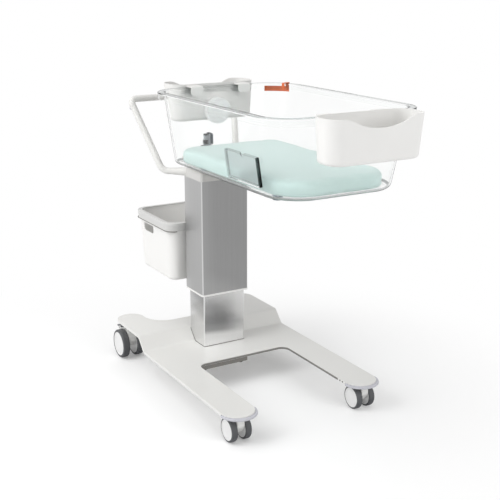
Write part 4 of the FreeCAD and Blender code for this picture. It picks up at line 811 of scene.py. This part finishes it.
bootPlan = roundedOutline(leverBoot["low"], leverBoot["high"], leverBoot["round"], leverBoot["round"],
                          perCorner=6, perSide=4)
bootPath = np.column_stack([bootPlan, np.zeros(len(bootPlan))])
dress("lever_boot", bandAlong(bootPath, outwards(bootPath), np.array(leverBoot["profile"])),
      "trim_dark", "lift")
for blockName, block in (("lever_sleeve", leverSleeve), ("lever_tip", leverTip)):
    dress(blockName, roundedBlock(block["low"], block["high"], block["round"], block["edge"]),
          "strut_black", "lever")
blade = dress("lever_blade", pipeSection(leverBlade), "grip_blue", "lever")
soften = blade.modifiers.new("soften", "BEVEL")
soften.width, soften.segments, soften.limit_method = leverBlade["bevel"], leverBlade["bevelSteps"], "ANGLE"
print("seals and lever dressed")


# pale floor, soft light from the right, from above and from the foot end, and the camera
studio = {
    "floorColor": (0.8, 0.8, 0.8, 1), "floorGlow": 0.16, "floorReach": 14.0,
    "floorMiddle": (0.2, -0.2, 0), "fadeFrom": 0.3, "fadeTo": 1.35, "skyLight": 0.62,
    "key": {"place": (0.0, -3.2, 2.3), "aim": (0.1, 0, 0.5), "size": 2.6, "power": 62},
    "top": {"place": (-0.2, -1.7, 3.4), "aim": (0.1, 0, 0.4), "size": 2.6, "power": 29},
    "foot": {"place": (4.0, 1.2, 1.8), "aim": (0.1, 0, 0.6), "size": 2.4, "power": 42},
}


def seenDirectly(tree):
    # 1 for camera, mirror and see-through rays, so that they find the pale background
    rays = addNode(tree, "LightPath")
    seen = mathNode(tree, "MAXIMUM", rays.outputs["Is Camera Ray"], rays.outputs["Is Glossy Ray"])
    return mathNode(tree, "MAXIMUM", seen, rays.outputs["Is Transmission Ray"])


def makeWorld():
    # white where it is seen directly, and skyLight as bright where it lights the object
    world = bpy.data.worlds.new("studio")
    world.use_nodes = True
    bpy.context.scene.world = world
    tree = world.node_tree
    backing = tree.nodes["Background"]
    backing.inputs["Color"].default_value = (1, 1, 1, 1)
    strength = spread(tree, seenDirectly(tree), studio["skyLight"], 1.0)
    tree.links.new(strength, backing.inputs["Strength"])


def makeFloor():
    # keeps the shadow near the object and turns plain white further out, by distance from the middle
    reach = studio["floorReach"]
    corners = [(-reach, -reach, 0), (reach, -reach, 0), (reach, reach, 0), (-reach, reach, 0)]
    material = bpy.data.materials.new("paleFloor")
    material.use_nodes = True
    tree = material.node_tree
    tree.nodes.remove(tree.nodes["Principled BSDF"])
    seen = seenDirectly(tree)
    matt = addNode(tree, "BsdfDiffuse", {"Color": studio["floorColor"]})
    glow = addNode(tree, "Emission", {"Strength": mathNode(tree, "MULTIPLY", seen, studio["floorGlow"])})
    near = addNode(tree, "AddShader", {0: matt.outputs[0], 1: glow.outputs[0]})
    away = addNode(tree, "VectorMath", {0: addNode(tree, "TexCoord").outputs["Object"],
                                        1: studio["floorMiddle"]}, operation="DISTANCE").outputs["Value"]
    fade = addNode(tree, "MapRange", {"Value": away, "From Min": studio["fadeFrom"],
                                      "From Max": studio["fadeTo"]}, interpolation_type="SMOOTHSTEP")
    far = addNode(tree, "Emission", {"Strength": 1.0})
    both = addNode(tree, "MixShader", {0: mathNode(tree, "MULTIPLY", fade.outputs["Result"], seen),
                                       1: near.outputs[0], 2: far.outputs[0]})
    tree.links.new(both.outputs[0], tree.nodes["Material Output"].inputs["Surface"])
    floor = meshPiece("studio_floor", corners, [(0, 1, 2, 3)], material, smooth=False)


def makeLamp(name, look):
    # a round area lamp that looks from its place to its aim
    lamp = bpy.data.lights.new(name, "AREA")
    lamp.shape, lamp.size, lamp.energy = "DISK", look["size"], look["power"]
    thing = bpy.data.objects.new(name, lamp)
    thing.location = look["place"]
    thing.rotation_mode = "QUATERNION"
    thing.rotation_quaternion = (Vector(look["aim"]) - Vector(look["place"])).to_track_quat("-Z", "Y")
    bpy.context.scene.collection.objects.link(thing)


viewpoint = {"place": (2.7336, -1.46, 1.3125), "azimuth": 59.8, "pitch": 16.2, "lens": 68.7}


def makeCamera():
    # looks along (-sin a cos p, cos a cos p, -sin p), with the azimuth a and the pitch p
    camera = bpy.data.cameras.new("camera")
    camera.lens, camera.sensor_width = viewpoint["lens"], 36.0
    thing = bpy.data.objects.new("camera", camera)
    a, p = math.radians(viewpoint["azimuth"]), math.radians(viewpoint["pitch"])
    ahead = Vector((-math.sin(a) * math.cos(p), math.cos(a) * math.cos(p), -math.sin(p)))
    thing.location = viewpoint["place"]
    thing.rotation_mode = "QUATERNION"
    thing.rotation_quaternion = ahead.to_track_quat("-Z", "Y")
    bpy.context.scene.collection.objects.link(thing)
    bpy.context.scene.camera = thing


makeWorld()
makeFloor()
for lampName in ("key", "top", "foot"):
    makeLamp(lampName + "_light", studio[lampName])
makeCamera()
bpy.context.scene.view_settings.view_transform = "Standard"
print("studio ready")
